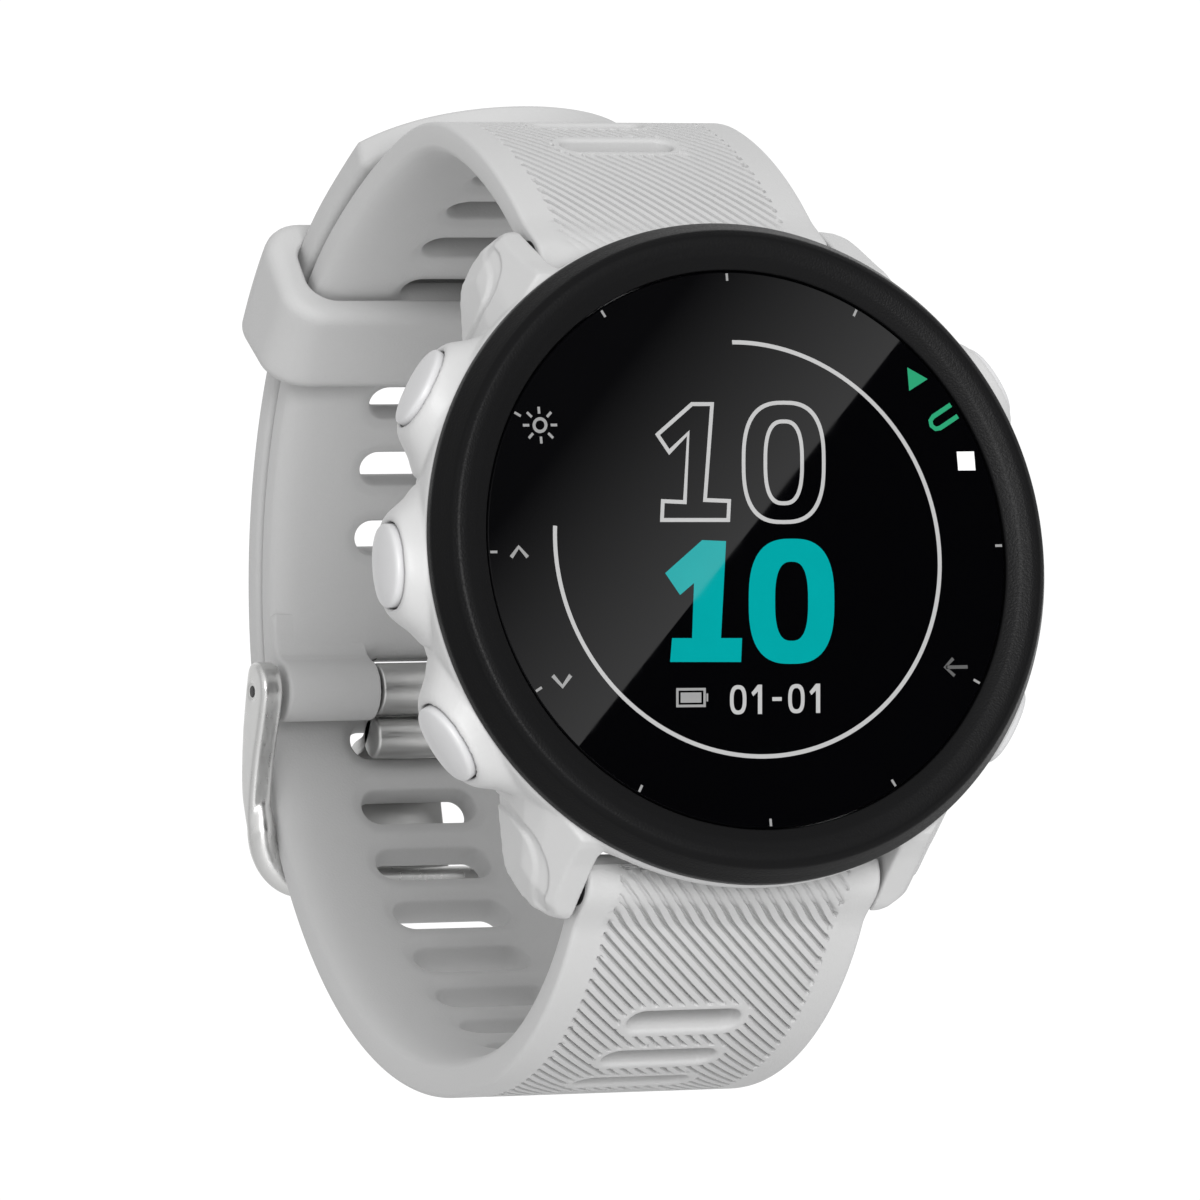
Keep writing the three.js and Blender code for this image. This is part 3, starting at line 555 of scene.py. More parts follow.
def ribbed_points(slots, ribs, low, high):
    """Where the outer face is finely meshed: along the ribs, beside them and round the slots."""
    start, end = ribs[2:4]
    lattice = rib_lattice(ribs)
    found = [lattice[slot_distance(*lattice.T, slots) > SLOT_BORDER + 0.05]]
    ends = np.arange(start, end, 0.1)
    for way in (-1, 1):
        for d in (-0.07, 0.07):
            found.append(np.c_[np.full(len(ends), way * (RIB_HALF + d)), ends])
    straight_half = (SLOT_LENGTH - SLOT_WIDTH) / 2
    straight = np.linspace(-straight_half, straight_half, 58)
    for at in slots:
        if start < at < end:
            for d in (0.3, 0.43):
                found.append(slot_outline(at, -d, 36))
                for way in (-1, 1):
                    found.append(np.c_[straight, np.full(58, at + way * (SLOT_WIDTH / 2 + d))])
    plain = grid(9.4, 20, low + 0.4, high - 0.3, 0.8)
    x, s = plain.T
    ribbed = (s > start) & (s < end) & (np.abs(x) < RIB_HALF + 0.2)
    found.append(plain[~ribbed & (slot_distance(x, s, slots) + SLOT_TAPER > 0.2)])
    return np.concatenate(found)


def smooth_points(slots, low, high):
    """Where the inner face is meshed away from its edges and slots."""
    plain = grid(7.6, 23, low + 2.2, high - 2.2, 0.7)
    return plain[slot_distance(*plain.T, slots) > SINK_WIDTH + 0.1]


def strap_face(side, path, edge_of, outline, slots, ribs):
    """The strap's outer (side 1) or inner (side -1) face: its points, its triangles, and the point
    numbers of its outline and of each slot."""
    taper = SLOT_TAPER if side > 0 else 0.0
    width, height = EDGES[side]

    def to_slot(x, s):
        return slot_distance(x, s, slots) + taper

    def keep(x, s):
        return (edge_of(x, s) > -1e-4) & (to_slot(x, s) > 1e-3)

    chains = [outline] + [slot_outline(at, taper, 20) for at in slots]
    for angle in np.linspace(0, math.pi / 2, 6)[1:]:
        chains.append(inward(outline, width * (1 - math.cos(angle))))
    chains += [slot_outline(at, taper - step, 20) for at in slots for step in RIM_STEPS[side]]
    numbers, count = [], 0
    for chain in chains:
        numbers.append(list(range(count, count + len(chain))))
        count += len(chain)
    low, high = outline[:, 1].min(), outline[:, 1].max()
    extra = ribbed_points(slots, ribs, low, high) if side > 0 else smooth_points(slots, low, high)
    good = (edge_of(*extra.T) > width + 0.05) & (to_slot(*extra.T) > 0.03)
    where, faces, number = triangles_of(np.concatenate(chains + [extra[good]]), numbers, keep)
    x, s = where.T
    depth = rolled(edge_of(x, s), width, height) + rolled(to_slot(x, s), *RIMS[side])
    if side > 0:
        depth += groove_depth(x, s, slots, ribs)
    else:
        depth += SINK * (1 - smoothstep(slot_distance(x, s, slots) / SINK_WIDTH))
    loops = [[number[i] for i in chain] for chain in numbers[:1 + len(slots)]]
    return path.point(x, s, depth, side), faces, loops


def strap_plate(path, edge_of, outline, slots, ribs):
    """A strap as one closed mesh: ribbed outer face, smooth inner face, slots right through.
    edge_of gives the distance inside the outline at x and s."""
    outer, outer_faces, outer_loops = strap_face(1, path, edge_of, outline, slots, ribs)
    inner, inner_faces, inner_loops = strap_face(-1, path, edge_of, outline, slots, ribs)
    shift = len(outer)
    faces = [tuple(f) for f in outer_faces] + [tuple(f[::-1] + shift) for f in inner_faces]
    for top, bottom in zip(outer_loops, inner_loops):
        for i in range(len(top)):
            j = (i + 1) % len(top)
            faces.append((top[i], top[j], bottom[j] + shift, bottom[i] + shift))
    return np.concatenate([outer, inner]), faces


def knuckle(side):
    """The strap's round end, with the spring bar through it."""
    return rod(1.72, -STRAP_HALF, STRAP_HALF, BAR_Y, side * BAR_Z, edge=0.3, sides=72)


def upper_strap():
    """The short strap, with a notch at its end for the buckle's tongue."""
    low, high, notch, notch_half = -NECK, SHORT_END, 69.3, 3.5
    half = STRAP_HALF
    side = np.arange(low, high, 0.4)
    corner = [(notch_half, high), (notch_half, notch + 1), (3.2, notch + 0.3), (2.5, notch)]
    outline = np.array([(half, s) for s in side] + [(x, high) for x in (half, 8, 6, 4.5)]
                       + corner + [(0, notch)] + [(-x, s) for x, s in corner[::-1]]
                       + [(x, high) for x in (-4.5, -6, -8, -half)] + [(-half, s) for s in side[::-1]]
                       + [(x, low) for x in np.linspace(-half, half, 41)[1:-1]])

    def edge_of(x, s):
        past = np.maximum(0, np.abs(x) - notch_half + 1)
        to_notch = np.hypot(past, np.maximum(0, notch + 1 - s)) - 1
        in_notch = np.where((np.abs(x) < notch_half) & (s > notch), -1.0, 9.0)
        near_notch = np.where(s > notch - 2, np.maximum(to_notch, -1), 9)
        return np.minimum(np.minimum(half - np.abs(x), in_notch), near_notch)

    return strap_plate(upper_path(), edge_of, outline, SHORT_SLOTS, SHORT_RIBS)


def lower_strap():
    """The long strap, with its rounded tail."""
    half = STRAP_HALF
    high = LOOP_LENGTH + NECK
    centre = TAIL_TIP + TAIL_RADIUS
    start = centre - math.sqrt(TAIL_RADIUS ** 2 - half ** 2)
    side = np.arange(start, high, 0.4)
    reach = math.acos((centre - start) / TAIL_RADIUS)
    tip = [(TAIL_RADIUS * math.sin(a), centre - TAIL_RADIUS * math.cos(a))
           for a in np.linspace(-reach, reach, 61)]
    outline = np.array(tip + [(half, s) for s in side[1:]]
                       + [(x, high) for x in np.linspace(half, -half, 41)]
                       + [(-half, s) for s in side[:0:-1]])

    def edge_of(x, s):
        round_tip = TAIL_RADIUS - np.hypot(x, s - centre)
        return np.minimum(half - np.abs(x), np.where(s < centre, round_tip, 9.0))

    return strap_plate(lower_path(), edge_of, outline, LONG_SLOTS, LONG_RIBS)


def pin_sleeve():
    """The short strap's end round the buckle pin, in two parts with the tongue between them."""
    outer, inner = STRAP_HALF - 0.02, 3.45
    angles = np.radians(np.arange(-5, -255, -8))
    circle = np.c_[PIN[0] + 2.05 * np.cos(angles), PIN[1] + 2.05 * np.sin(angles)]
    s = np.arange(66.0, 70.0, 0.5)
    fillet = np.array([(43.75, 2.3), (43.95, 3.0)])
    outline = np.concatenate([beside(s, -0.19), circle, fillet, beside(s[::-1], -2.31)])
    halves = [stitched([np.c_[np.full(len(outline), x), outline] for x in ends])
              for ends in ((-outer, -inner), (inner, outer))]
    sleeve = temporary(*together(*halves))
    moulded(sleeve, 0.13, 8)
    return sleeve


piece("strap_short", *together(upper_strap(), knuckle(1)), SILICONE, "case", "strap", ["strap_upper"],
      sharp=50)
settle(pin_sleeve(), "strap_sleeve", SILICONE, "case", sharp=75)
piece("strap_long", *together(lower_strap(), knuckle(-1)), SILICONE, "case", "strap", ["strap_lower"],
      sharp=50)


# ---- keeper

def rounded_box(half, low, high, radius, arc=10, sides=14):
    """Points of a rounded rectangle; the same count for every size."""
    out = []
    centres = [(half - radius, high - radius, 0), (-half + radius, high - radius, 1),
               (-half + radius, low + radius, 2), (half - radius, low + radius, 3)]
    for i, (x, y, quarter) in enumerate(centres):
        angles = (quarter + np.linspace(0, 1, arc)) * math.pi / 2
        here = np.c_[x + radius * np.cos(angles), y + radius * np.sin(angles)]
        nx, ny, next_quarter = centres[(i + 1) % 4]
        turn = next_quarter * math.pi / 2
        after = np.array([nx + radius * math.cos(turn), ny + radius * math.sin(turn)])
        t = np.linspace(0, 1, sides)[1:-1, None]
        out += [here, here[-1] * (1 - t) + after * t]
    return np.concatenate(out)


def keeper():
    """The keeper: a rounded band round both straps, with a tunnel that opens out at its ends.
    A box is (half width, inner offset, outer offset, corner radius)."""
    middle, half = 44.2, 3.8
    outer, tunnel = (12.4, -4.35, 4.55, 2.8), (10.5, -2.7, 2.7, 1.8)
    quarter = np.linspace(0, math.pi / 2, 6)

    def ring(along, drawn_in, box):
        half_x, bottom, top, radius = box
        flat = rounded_box(half_x - drawn_in, bottom + drawn_in, top - drawn_in,
                           max(0.15, radius - drawn_in))
        return np.c_[flat[:, 0], beside(np.full(len(flat), middle + along), flat[:, 1])]

    def rings(box, edge, drawn_in):
        rim = [(-half + edge * (1 - math.sin(a)), drawn_in * (1 - math.cos(a))) for a in quarter[::-1]]
        between = [(t, 0) for t in np.linspace(-half + edge, half - edge, 12)[1:-1]]
        return [ring(t, d, box) for t, d in rim + between + [(-t, d) for t, d in rim[::-1]]]

    return stitched(rings(outer, 1.0, 1.0) + rings(tunnel, 0.3, -0.3)[::-1], closed=True)


piece("keeper_loop", *keeper(), SILICONE, "keeper", "strap", ["strap_keeper"], sharp=60)


# ---- case

def hull(points):
    """The convex solid round the points."""
    work = bmesh.new()
    for p in points:
        work.verts.new(p)
    bmesh.ops.convex_hull(work, input=work.verts)
    for v in [v for v in work.verts if not v.link_faces]:
        work.verts.remove(v)
    work.verts.index_update()
    made = ([tuple(v.co) for v in work.verts], [tuple(v.index for v in f.verts) for f in work.faces])
    work.free()
    return made


CASE_PROFILE = [(16.2, -9.2), (20.6, -9.2), (20.9, -8.9), (20.9, -8.2), (20.75, -7.4), (20.5, -6.2),
                (20.1, -4.8), (19.6, -3.2), (18.9, -1.9), (18.0, -1.2), (17.2, -1.2), (17.2, -2.6),
                (16.2, -2.6)]   # radius, y
LUG_IN, LUG_OUT = 10.2, 16.0
LUG_SIDE = [(-9.0, 12), (-9.0, 17.8), (-8.4, 18.2), (-6.8, 19.05), (-5.5, 19.9), (-4.2, 20.75),
            (-3.1, 21.5), (-2.4, 21.8), (-1.7, 21.4), (-1.2, 20.7), (-1.0, 19.5), (-1.1, 17.5),
            (-1.8, 15), (-2.2, 12)]   # y, z
STRIP = [(-2.0, 14.0), (-4.2, 15.3), (-5.5, 16.8), (-5.3, 18.2), (-4.2, 19.6), (-2.4, 20.8)]   # y, z
LUG_FRONT = [(LUG_IN, 12), (15.2, 12), (13.9, 15), (12.3, 17), (11.2, 18.6), (LUG_IN, 19.6)]   # x, z
LUG_FULL = [(LUG_IN, 12), (14.6, 12), (14.1, 16), (13.8, 18.5), (13.0, 19.9), (12.3, 20.8),
            (11.3, 21.6), (LUG_IN, 21.9)]   # x, z
BUTTONS = {"light": (300, 22.95), "up": (270, 22.95), "down": (240, 22.95), "start": (60, 22.8),
           "back": (120, 22.1)}   # degrees clockwise from 12 o'clock, how far out
BUTTON_Y = -6.35


def slab(outline, x_from, x_to):
    """An outline of (y, z) pushed along X with sharp edges."""
    return stitched([[(x, y, z) for y, z in outline] for x in (x_from, x_to)])


def turn_to(shape, degrees):
    """Takes points and faces made at 12 o'clock to an angle clockwise from it."""
    a = math.radians(degrees)
    p = np.asarray(shape[0], float)
    return np.c_[p[:, 0] * math.cos(a) + p[:, 2] * math.sin(a), p[:, 1],
                 -p[:, 0] * math.sin(a) + p[:, 2] * math.cos(a)], shape[1]


def radial(stations, power=2.2, count=96):
    """A rounded section carried outwards at 12 o'clock; stations are (length, width, distance)."""
    rings = []
    for length, width, reach in stations:
        flat = superellipse(length / 2, width / 2, power, count)
        rings.append(np.c_[flat[:, 0], BUTTON_Y + flat[:, 1], np.full(count, reach)])
    return stitched(rings)


def strip_grooves(mesh):
    """Presses the shallow curved strip into the outer flank of each lug."""
    flat = np.empty(len(mesh.vertices) * 3)
    mesh.vertices.foreach_get("co", flat)
    p = flat.reshape(-1, 3) / MM
    depth, half_width, wall = 0.22, 0.28, 0.2
    line = smooth_curve(STRIP, 0.1)
    near = np.where((np.abs(p[:, 0]) > 11.5) & (np.abs(p[:, 2]) > 13))[0]
    flank = np.c_[p[near, 1], np.abs(p[near, 2])]
    distance = np.linalg.norm(flank[:, None] - line[None], axis=2).min(1)
    p[near, 0] -= np.sign(p[near, 0]) * depth * (1 - smoothstep((distance - half_width) / wall))
    mesh.vertices.foreach_set("co", (p * MM).ravel())


def lug(x_side, z_side):
    """A strap lug: what its front and its side outlines share."""
    made = temporary(*hull([(x_side * x, -9.2, z_side * z) for x, z in LUG_FRONT]
                           + [(x_side * x, y, z_side * z) for x, z in LUG_FULL for y in (-3.5, 0)]))
    ends = sorted((x_side * LUG_IN, x_side * LUG_OUT))
    combine(made, [temporary(*slab([(y, z_side * z) for y, z in LUG_SIDE], *ends))], "INTERSECT")
    shape = [v.co / MM for v in made.data.vertices], [tuple(f.vertices) for f in made.data.polygons]
    bpy.data.objects.remove(made)
    return shape


def case_shell():
    """The case: turned body, lugs and button bosses in one, then hollowed, with its edges softened."""
    parts = [turned(CASE_PROFILE, 163)]
    parts += [lug(x_side, z_side) for x_side in (-1, 1) for z_side in (-1, 1)]
    rooms = [turned([(0.01, -20), (16.26, -20), (16.26, -3.93), (0.01, -3.93)], 157),
             turned([(0.01, -2.67), (17.24, -2.67), (17.24, 1), (0.01, 1)], 157)]
    for angle, reach in BUTTONS.values():
        top = reach - 0.75
        boss = radial([(10.4, 5.7, 17.4), (10.2, 5.6, 20.1), (8.6, 5.35, 20.8), (6.9, 5.0, top - 0.3),
                       (6.1, 4.75, top)])
        parts.append(turn_to(boss, angle))
        rooms.append(turn_to(radial([(5.45, 4.25, 20.0), (5.45, 4.25, 25)]), angle))
    openings, bar_holes = [], []
    for side in (1, -1):
        rooms.append(rod(2.13, -10.23, 10.23, BAR_Y, side * BAR_Z, edge=0.01))
        openings.append(slab([(-8.0, side * 18.8), (-5.4, side * 17.3), (0.5, side * 18.9),
                              (0.5, side * 26), (-8.0, side * 26)], -10.26, 10.26))
        bar_holes.append(rod(0.65, -12, 12, BAR_Y, side * BAR_Z, edge=0.01, sides=24))
    body = temporary(*together(*parts))
    moulded(body, 0.14, 0)
    combine(body, [temporary(*together(*group)) for group in (rooms, openings, bar_holes)], "DIFFERENCE")
    moulded(body, 0.14, 2)
    strip_grooves(body.data)
    return body


settle(case_shell(), "case_shell", POLYMER, "case", ["case_middle"], sharp=75)


# ---- bezel and glass

piece("bezel_ring", *turned(rounded([
    (17.62, -9.1), (17.62, -11.04), (18.45, -11.45), (19.2, -11.59), (19.7, -11.59), (20.12, -11.3),
    (20.5, -10.5), (20.86, -9.8), (20.86, -9.1)], 0.14)), BEZEL, "case", "bezel", ["bezel"], sharp=60)
piece("cover_glass", *turned([(17.55, -9.9), (17.55, -10.9), (17.45, -11.0), (0.02, -11.0), (0.02, -9.9)]),
      GLASS, "case", "lens", ["lens"], sharp=10)


# ---- buttons

CAP_LENGTH, CAP_WIDTH = 5.2, 4.0
CAP_DOME = [(0, -0.75), (0, -0.5), (0.03, -0.42), (0.1, -0.35), (0.22, -0.29), (0.5, -0.2), (0.9, -0.11),
            (1.3, -0.04), (1.9, 0)]     # inset, height from the top

for name, (angle, face) in BUTTONS.items():
    dome = [(CAP_LENGTH - 2 * inset, CAP_WIDTH - 2 * inset, face + drop) for inset, drop in CAP_DOME]
    cap = radial([(CAP_LENGTH, CAP_WIDTH, 20.9)] + dome)
    stem = radial([(1.2, 1.2, 15.35), (1.2, 1.2, 21.2)], power=2, count=24)
    piece("cap_" + name, *turn_to(together(cap, stem), angle), CAP, "button_" + name, "button",
          ["button_" + name], sharp=40)


# ---- buckle

BOW_PLACE, BOW_OFFSET, BOW_RADIUS = 82.8, 3.75, 0.95   # the round bar: along the loop, out from it
ARM_IN, ARM_OUT = 10.45, 11.98                         # the arms' inner and outer faces
TONGUE_HALF, TONGUE_THICK = 3.2, 0.96


def tube(path, radius, sides=40):
    """A round bar along a path, with one radius or one for each point."""
    along = directions(path)
    first = np.cross(along[0], (0, 0.3, 1.0))
    rings, side = [], first / np.linalg.norm(first)
    angles = np.arange(sides) * 2 * math.pi / sides
    for p, t, r in zip(path, along, np.broadcast_to(radius, len(path))):
        side = side - t * (side @ t)
        side /= np.linalg.norm(side)
        other = np.cross(t, side)
        rings.append(p + r * (np.cos(angles)[:, None] * side + np.sin(angles)[:, None] * other))
    return stitched(rings)


def buckle_frame():
    """Two flat arms from the pin, and a round bar bent across between them."""
    bow = beside(BOW_PLACE, BOW_OFFSET)[0]
    y, z = PIN
    foot = np.array([y + 2.4, z - 9.0])
    outline = smooth_curve([
        (y - 1.9, z + 0.9), (y - 1.0, z + 1.75), (y + 0.35, z + 1.7), (y + 1.5, z - 0.4), (y + 2.5, z - 2.9),
        (y + 3.2, z - 5.8), (y + 3.1, z - 7.6), foot + (0, -0.8), (y + 1.7, z - 7.6), (y + 1.25, z - 6.4),
        (y + 0.4, z - 4.6), (y - 1.2, z - 2.0), (y - 2.0, z - 0.4)], 0.2, closed=True)
    turn = np.linspace(0, math.pi / 2, 16)
    elbow = np.c_[8.05 + 2.98 * np.cos(turn), foot + np.sin(turn)[:, None] * (bow - foot)]
    right = np.r_[[(11.15, y + 1.9, z - 4.6), (11.1, y + 2.2, z - 6.4), (11.05, y + 2.35, z - 7.9)], elbow]
    straight = np.c_[np.linspace(7, -7, 20), np.tile(bow, (20, 1))]
    growing = np.r_[0.4, 0.65, 0.85, np.full(len(elbow), BOW_RADIUS)]
    bar_path = np.r_[right, straight, right[::-1] * (-1, 1, 1)]
    radii = np.r_[growing, np.full(len(straight), BOW_RADIUS), growing[::-1]]
    frame_bar = temporary(*together(pushed(outline, ARM_IN, ARM_OUT, 0.3),
                                    pushed(outline, -ARM_OUT, -ARM_IN, 0.3), tube(bar_path, radii)))
    moulded(frame_bar, 0.1, 2)
    holes = together(rod(0.5, 11.6, 13, y, z), rod(0.5, -13, -11.6, y, z))
    combine(frame_bar, [temporary(*holes)], "DIFFERENCE")
    moulded(frame_bar, 0.1, 8)
    return frame_bar


def pin_shade_plugs():
    """Dark plugs sunk in the arms at the buckle pin's ends: painted shade for the shaded pin holes."""
    y, z = PIN
    return together(rod(0.4, 11.4, 11.95, y, z, edge=0.06, sides=32),
                    rod(0.4, -11.95, -11.4, y, z, edge=0.06, sides=32))


def buckle_tongue():
    """The tongue: rolled round the pin, down through the last tail slot and along to the bar."""
    place = TAIL_SLOTS[-1]
    y, z = PIN
    through = [(place, 0.2), (place + 0.2, 2.6), (place + 2.2, 4.0), (BOW_PLACE - 0.4, 5.5),
               (BOW_PLACE + 1.4, 5.5)]
    centre = smooth_curve([(y + 0.9, z - 1.3)] + [tuple(beside(*at)[0]) for at in through], 0.3)
    out = left_of(directions(centre)) * TONGUE_THICK / 2
    blade = pushed(np.r_[centre + out, centre[::-1] - out[::-1]], -TONGUE_HALF, TONGUE_HALF, 0.16)
    rolls = [rod(radius, -TONGUE_HALF, TONGUE_HALF, y + out_by, z - below, edge=0.24, sides=96)
             for radius, out_by, below in ((1.75, 0, 0), (1.42, 1.1, 3.05))]
    return together(*rolls, blade)


settle(buckle_frame(), "buckle_bow", BRIGHT, "buckle_frame", ["buckle_frame"], sharp=60)
# The black pin-end plugs are painted shade in the pin holes.
piece("buckle_pin_ends", *pin_shade_plugs(), BLACK, "buckle_frame", "buckle_steel")
piece("buckle_prong", *buckle_tongue(), STEEL, "buckle_tongue", "buckle_steel", ["buckle_tongue"], sharp=35)


# ---- dial markings

DIAL_Y = -11.008
# Each ink below glows faintly by emission: painted glow on printed markings.
WHITE_INK = glowing("marking_grey", rgb(156, 156, 156), 0.12)
DIM_INK = glowing("marking_dim", rgb(80, 80, 80), 0.1)
LABEL_INK = glowing("marking_label", rgb(130, 130, 130), 0.1)
PALE_INK = glowing("marking_white", rgb(220, 220, 220), 0.2)
GREEN_INK = glowing("marking_green", rgb(36, 132, 94), 0.12)
TEAL_INK = glowing("marking_teal", rgb(2, 132, 133), 0.12)


def filled(outer, *holes):
    """A flat shape on the dial, with holes."""
    rings = [np.asarray(r, float) for r in (outer, *holes)]
    flat = np.concatenate(rings)
    faces = tessellate_polygon([[Vector((x, z, 0)) for x, z in ring] for ring in rings])
    return np.c_[flat[:, 0], np.full(len(flat), DIAL_Y), flat[:, 1]], faces


def mitred(outline, distance):
    """A closed straight-sided outline moved inward by the same distance on every side."""
    p = np.asarray(outline, float)
    sign = winding(p)
    out = []
    for i in range(len(p)):
        a, b = p[i] - p[i - 1], p[(i + 1) % len(p)] - p[i]
        na, nb = (sign * np.array([-v[1], v[0]]) / np.linalg.norm(v) for v in (a, b))
        middle = na + nb
        out.append(p[i] + middle * distance / max(0.4, (middle @ middle) / 2))
    return np.array(out)


def marking(name, parts, look):
    """A dial marking, facing forwards."""
    made = piece(name, *together(*parts), look, "case", "display")
    for polygon in made.data.polygons:
        if polygon.normal.y > 0:
            polygon.flip()
    return made


def lean(points, centre):
    """The display's own lean, taken about a point."""
    centre = np.array(centre, float)
    p = np.asarray(points, float) - centre
    return np.c_[p[:, 0] + 0.087 * p[:, 1], p[:, 1] - 0.009 * p[:, 0]] + centre


def oval(centre, outer, inner, power=2.7, count=72):
    """The leaning band between two ovals, given by their half sizes."""
    return filled(*(lean(superellipse(*half, power, count) + centre, centre) for half in (outer, inner)))


def leaning(centre, *shapes):
    """A leaning flat shape with its corners given from its centre, and its holes."""
    return filled(*(lean(centre + np.array(shape, float), centre) for shape in shapes))


def rectangle(half_x, half_z):
    return [(-half_x, -half_z), (half_x, -half_z), (half_x, half_z), (-half_x, half_z)]


def arc_band(radius, width, start, end, count):
    """Part of a ring, from start to end in degrees clockwise from 12 o'clock."""
    a = np.radians(np.linspace(start, end, count))
    band = [np.c_[r * np.sin(a), r * np.cos(a)] for r in (radius - width / 2, radius + width / 2)]
    return filled(np.r_[band[0], band[1][::-1]])


def bar(a, b, width):
    """A straight stroke with square ends."""
    a, b = np.array(a, float), np.array(b, float)
    side = np.array([-(b - a)[1], (b - a)[0]]) / np.linalg.norm(b - a) * width / 2
    return filled([a + side, b + side, b - side, a - side])


def strokes(chain, width):
    """A bent stroke of one width."""
    p = np.asarray(chain, float)
    side = left_of(directions(p)) * width / 2
    return filled(np.r_[p + side, (p - side)[::-1]])


ONE_OUTLINE = [(-3.12, 9.28), (-1.56, 9.27), (-2.56, 3.22), (-0.93, 3.14), (-1.13, 1.7), (-5.87, 1.75),
               (-5.68, 3.19), (-4.19, 3.11), (-3.58, 7.14), (-4.9, 5.95), (-5.74, 7.28)]
ONE_SOLID = [(-3.12, 0.58), (-1.5, 0.5), (-2.37, -5.59), (-0.94, -5.61), (-1.14, -7.11), (-5.94, -7.03),
             (-5.68, -5.54), (-4.33, -5.56), (-3.9, -2.11), (-4.91, -2.85), (-5.8, -1.46)]
LINE = 0.25
ZERO_AT = (2.86, 5.43)
marking("dial_hours", [filled(ONE_OUTLINE, mitred(ONE_OUTLINE, LINE)),
                       oval(ZERO_AT, (2.865, 3.9), (2.865 - LINE, 3.9 - LINE)),
                       oval(ZERO_AT, (1.13 + LINE, 2.465 + LINE), (1.13, 2.465))], WHITE_INK)
marking("dial_ring", [arc_band(13.05, 0.27, 0, 277, 240)], WHITE_INK)
marking("dial_minutes", [filled(ONE_SOLID), oval((2.63, -3.34), (2.92, 3.94), (1.125, 2.49))], TEAL_INK)

battery = np.array([-4.72, -9.28])
marking("dial_battery", [leaning(battery, rectangle(1.0, 0.6), rectangle(0.84, 0.44)),
                         leaning(battery, rectangle(0.7, 0.32)),
                         leaning(battery, np.array(rectangle(0.06, 0.25)) + (1.1, 0))], LABEL_INK)


def date_sign(kind, at):
    if kind == "0":
        return oval(at, (0.56, 0.92), (0.31, 0.67), 2.6, 40)
    if kind == "1":
        return leaning(at, [(-0.42, 0.42), (0.02, 0.92), (0.3, 0.92), (0.3, -0.92), (0.02, -0.92),
                            (0.02, 0.5), (-0.3, 0.2)])
    return leaning(at, rectangle(0.32, 0.12))


date_middle, apart = np.array([1.1, -9.47]), 1.32
marking("dial_date", [date_sign(kind, date_middle + ((i - 2) * apart, 0)) for i, kind in enumerate("01-01")],
        WHITE_INK)

ticks = []
for hour in range(12):
    if hour != 2:
        a = math.radians(hour * 30)
        out = np.array([math.sin(a), math.cos(a)])
        ticks.append(bar(out * 16.95, out * 17.42, 0.16))
marking("dial_ticks", ticks, LABEL_INK)

# signs beside the buttons: lamp, up and down, then start with its hook, stop and back
lamp_at, up_at, down_at = (np.array(at) for at in ((-13.44, 7.9), (-15.5, 0.0), (-13.29, -8.1)))
start_at, stop_at, back_at = (np.array(at) for at in ((12.43, 10.65), (15.42, 5.41), (13.54, -7.66)))
hook_at = np.array([14.07, 8.16])
lamp = [oval(lamp_at, (0.5, 0.5), (0.3, 0.3), 2, 32)]
for i in range(8):
    a = i * math.pi / 4
    way = np.array([math.cos(a), math.sin(a)])
    lamp.append(bar(lamp_at + way * 0.72, lamp_at + way * 1.15, 0.17))
marking("dial_side_signs", lamp + [
    strokes(up_at + [(-0.55, -0.35), (0, 0.3), (0.55, -0.35)], 0.24),
    strokes(down_at + [(-0.6, 0.35), (0, -0.35), (0.6, 0.35)], 0.26)], LABEL_INK)
outwards = hook_at / math.hypot(*hook_at)
sideways = np.array([-outwards[1], outwards[0]])
hook = [hook_at + outwards * r + sideways * t
        for r, t in [(0.95, 0.42), (-0.55, 0.42), (-0.85, 0.3), (-0.97, 0.0), (-0.85, -0.3), (-0.55, -0.42),
                     (0.95, -0.42)]]
marking("dial_start_sign", [filled(start_at + [(-0.55, -0.75), (0.8, 0), (-0.55, 0.75)]),
                            strokes(hook, 0.3)], GREEN_INK)
marking("dial_stop_sign", [filled(stop_at + rectangle(0.6, 0.6))], PALE_INK)
marking("dial_back_sign", [bar(back_at + (-0.7, 0), back_at + (0.8, 0), 0.22),
                           strokes(back_at + [(-0.15, 0.55), (-0.75, 0), (-0.15, -0.55)], 0.22)], DIM_INK)


# ---- carried-over CAD pieces

for row in frame["record"]["subparts"]:
    shown = NODES[row["node"]].data
    shown.materials.clear()
    shown.materials.append(BY_SLOT[row["material_slot"]])


# ---- camera, light and floor

# metres
WATCH_MIDDLE = Vector((0, 0.012, 0))
FLOOR_Z = -0.35
CAMERA_AT = Vector((-0.27648, -0.61857, -0.10061))
CAMERA_TURN = Matrix(((0.91774, 0.01333, -0.39698), (-0.38963, -0.16416, -0.90622),
                      (-0.07725, 0.98634, -0.14546)))

camera_data = bpy.data.cameras.new("camera")
camera_data.sensor_width, camera_data.lens = 36, 325.98
camera = bpy.data.objects.new("camera", camera_data)
bpy.context.scene.collection.objects.link(camera)
camera.matrix_world = Matrix.LocRotScale(CAMERA_AT, CAMERA_TURN, None)
bpy.context.scene.camera = camera


def area_light(name, place, size, power):
    """A round soft light that faces the watch."""
    data = bpy.data.lights.new(name, "AREA")
    data.shape = "DISK"
    data.size, data.energy = size, power
    made = bpy.data.objects.new(name, data)
    bpy.context.scene.collection.objects.link(made)
    made.location = place
    made.rotation_mode = "QUATERNION"
    made.rotation_quaternion = (WATCH_MIDDLE - made.location).to_track_quat("-Z", "Y")


area_light("key", (-0.15, -0.85, 0.05), 0.38, 5.2)

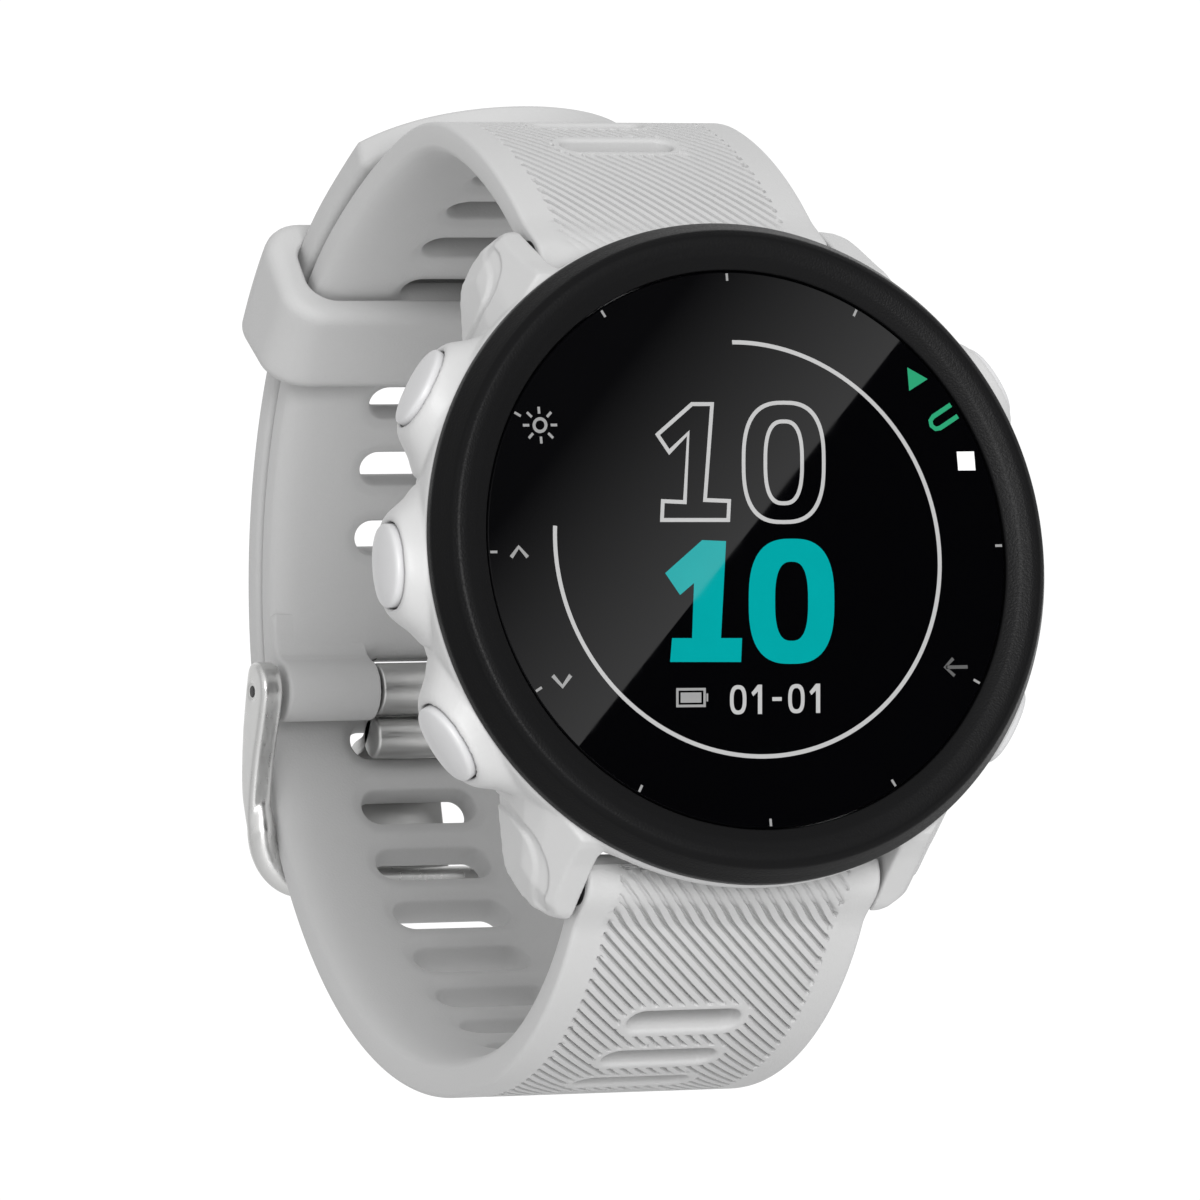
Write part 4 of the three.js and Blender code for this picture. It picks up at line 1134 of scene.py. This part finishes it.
floor_mesh = bpy.data.meshes.new("floor")
floor_mesh.from_pydata([(-3, -3, FLOOR_Z), (3, -3, FLOOR_Z), (3, 3, FLOOR_Z), (-3, 3, FLOOR_Z)], [],
                       [(0, 1, 2, 3)])
floor = bpy.data.objects.new("floor", floor_mesh)
bpy.context.scene.collection.objects.link(floor)
floor_mesh.materials.append(finish("floor_paint", rgb(236, 236, 236), 0.8, mottle=0.01, cloud=80, grain=2,
                                   bump=0.01))


def mirrored(x, z):
    """The direction that the glass mirrors towards the camera at a point of the dial."""
    v = Vector((x * MM, -11.0 * MM, z * MM)) - CAMERA_AT
    return Vector((v.x, -v.y, v.z)).normalized()


def studio(world):
    """White all round, but for one small window of directions: a white card with a straight edge, which
    the glass shows across the dial."""
    world.use_nodes = True
    tree = world.node_tree
    background = tree.nodes["Background"]
    edge = mirrored(11.85, 13.46).cross(mirrored(-12.5, -12.16)).normalized()
    if edge.dot(mirrored(-8, 8)) < 0:
        edge = -edge
    direction = node(tree, "ShaderNodeTexCoord").outputs["Generated"]

    def along(vector):
        return node(tree, "ShaderNodeVectorMath", {0: direction, 1: vector},
                    operation="DOT_PRODUCT").outputs["Value"]

    def ranged(value, low, high, to_low, to_high):
        return node(tree, "ShaderNodeMapRange", {"Value": value, "From Min": low, "From Max": high,
                                                 "To Min": to_low, "To Max": to_high}).outputs["Result"]

    def math_of(operation, a, b):
        return node(tree, "ShaderNodeMath", {0: a, 1: b}, operation=operation).outputs[0]

    side = along(edge)
    fading = ranged(side, 0, edge.dot(mirrored(-9, 10)), 1.0, 0.04)
    card = math_of("MULTIPLY", ranged(side, -0.00004, 0.00004, 0, 1), fading)
    window = [math.cos(math.radians(angle)) for angle in (3.4, 2.4)]
    inside = ranged(along(mirrored(0, 0)), *window, 0, 1)
    backdrop = camera.matrix_world.to_3x3() @ Vector((0, 0, -1))
    around = ranged(along(backdrop), 0.2, 0.93, 0.4, 1.06)
    overhead = ranged(along((-0.5, -0.86, 0.0)), -0.6, 1.0, 0.5, 1.35)
    lit = math_of("MAXIMUM", around, math_of("MULTIPLY", overhead, 0.8))
    mix = node(tree, "ShaderNodeMix", {0: inside, 2: lit, 3: card}, data_type="FLOAT")
    tree.links.new(mix.outputs[0], background.inputs["Strength"])
    background.inputs["Color"].default_value = (1, 1, 1, 1)


bpy.context.scene.world = bpy.context.scene.world or bpy.data.worlds.new("studio")
studio(bpy.context.scene.world)
bpy.context.scene.view_settings.view_transform = "Standard"
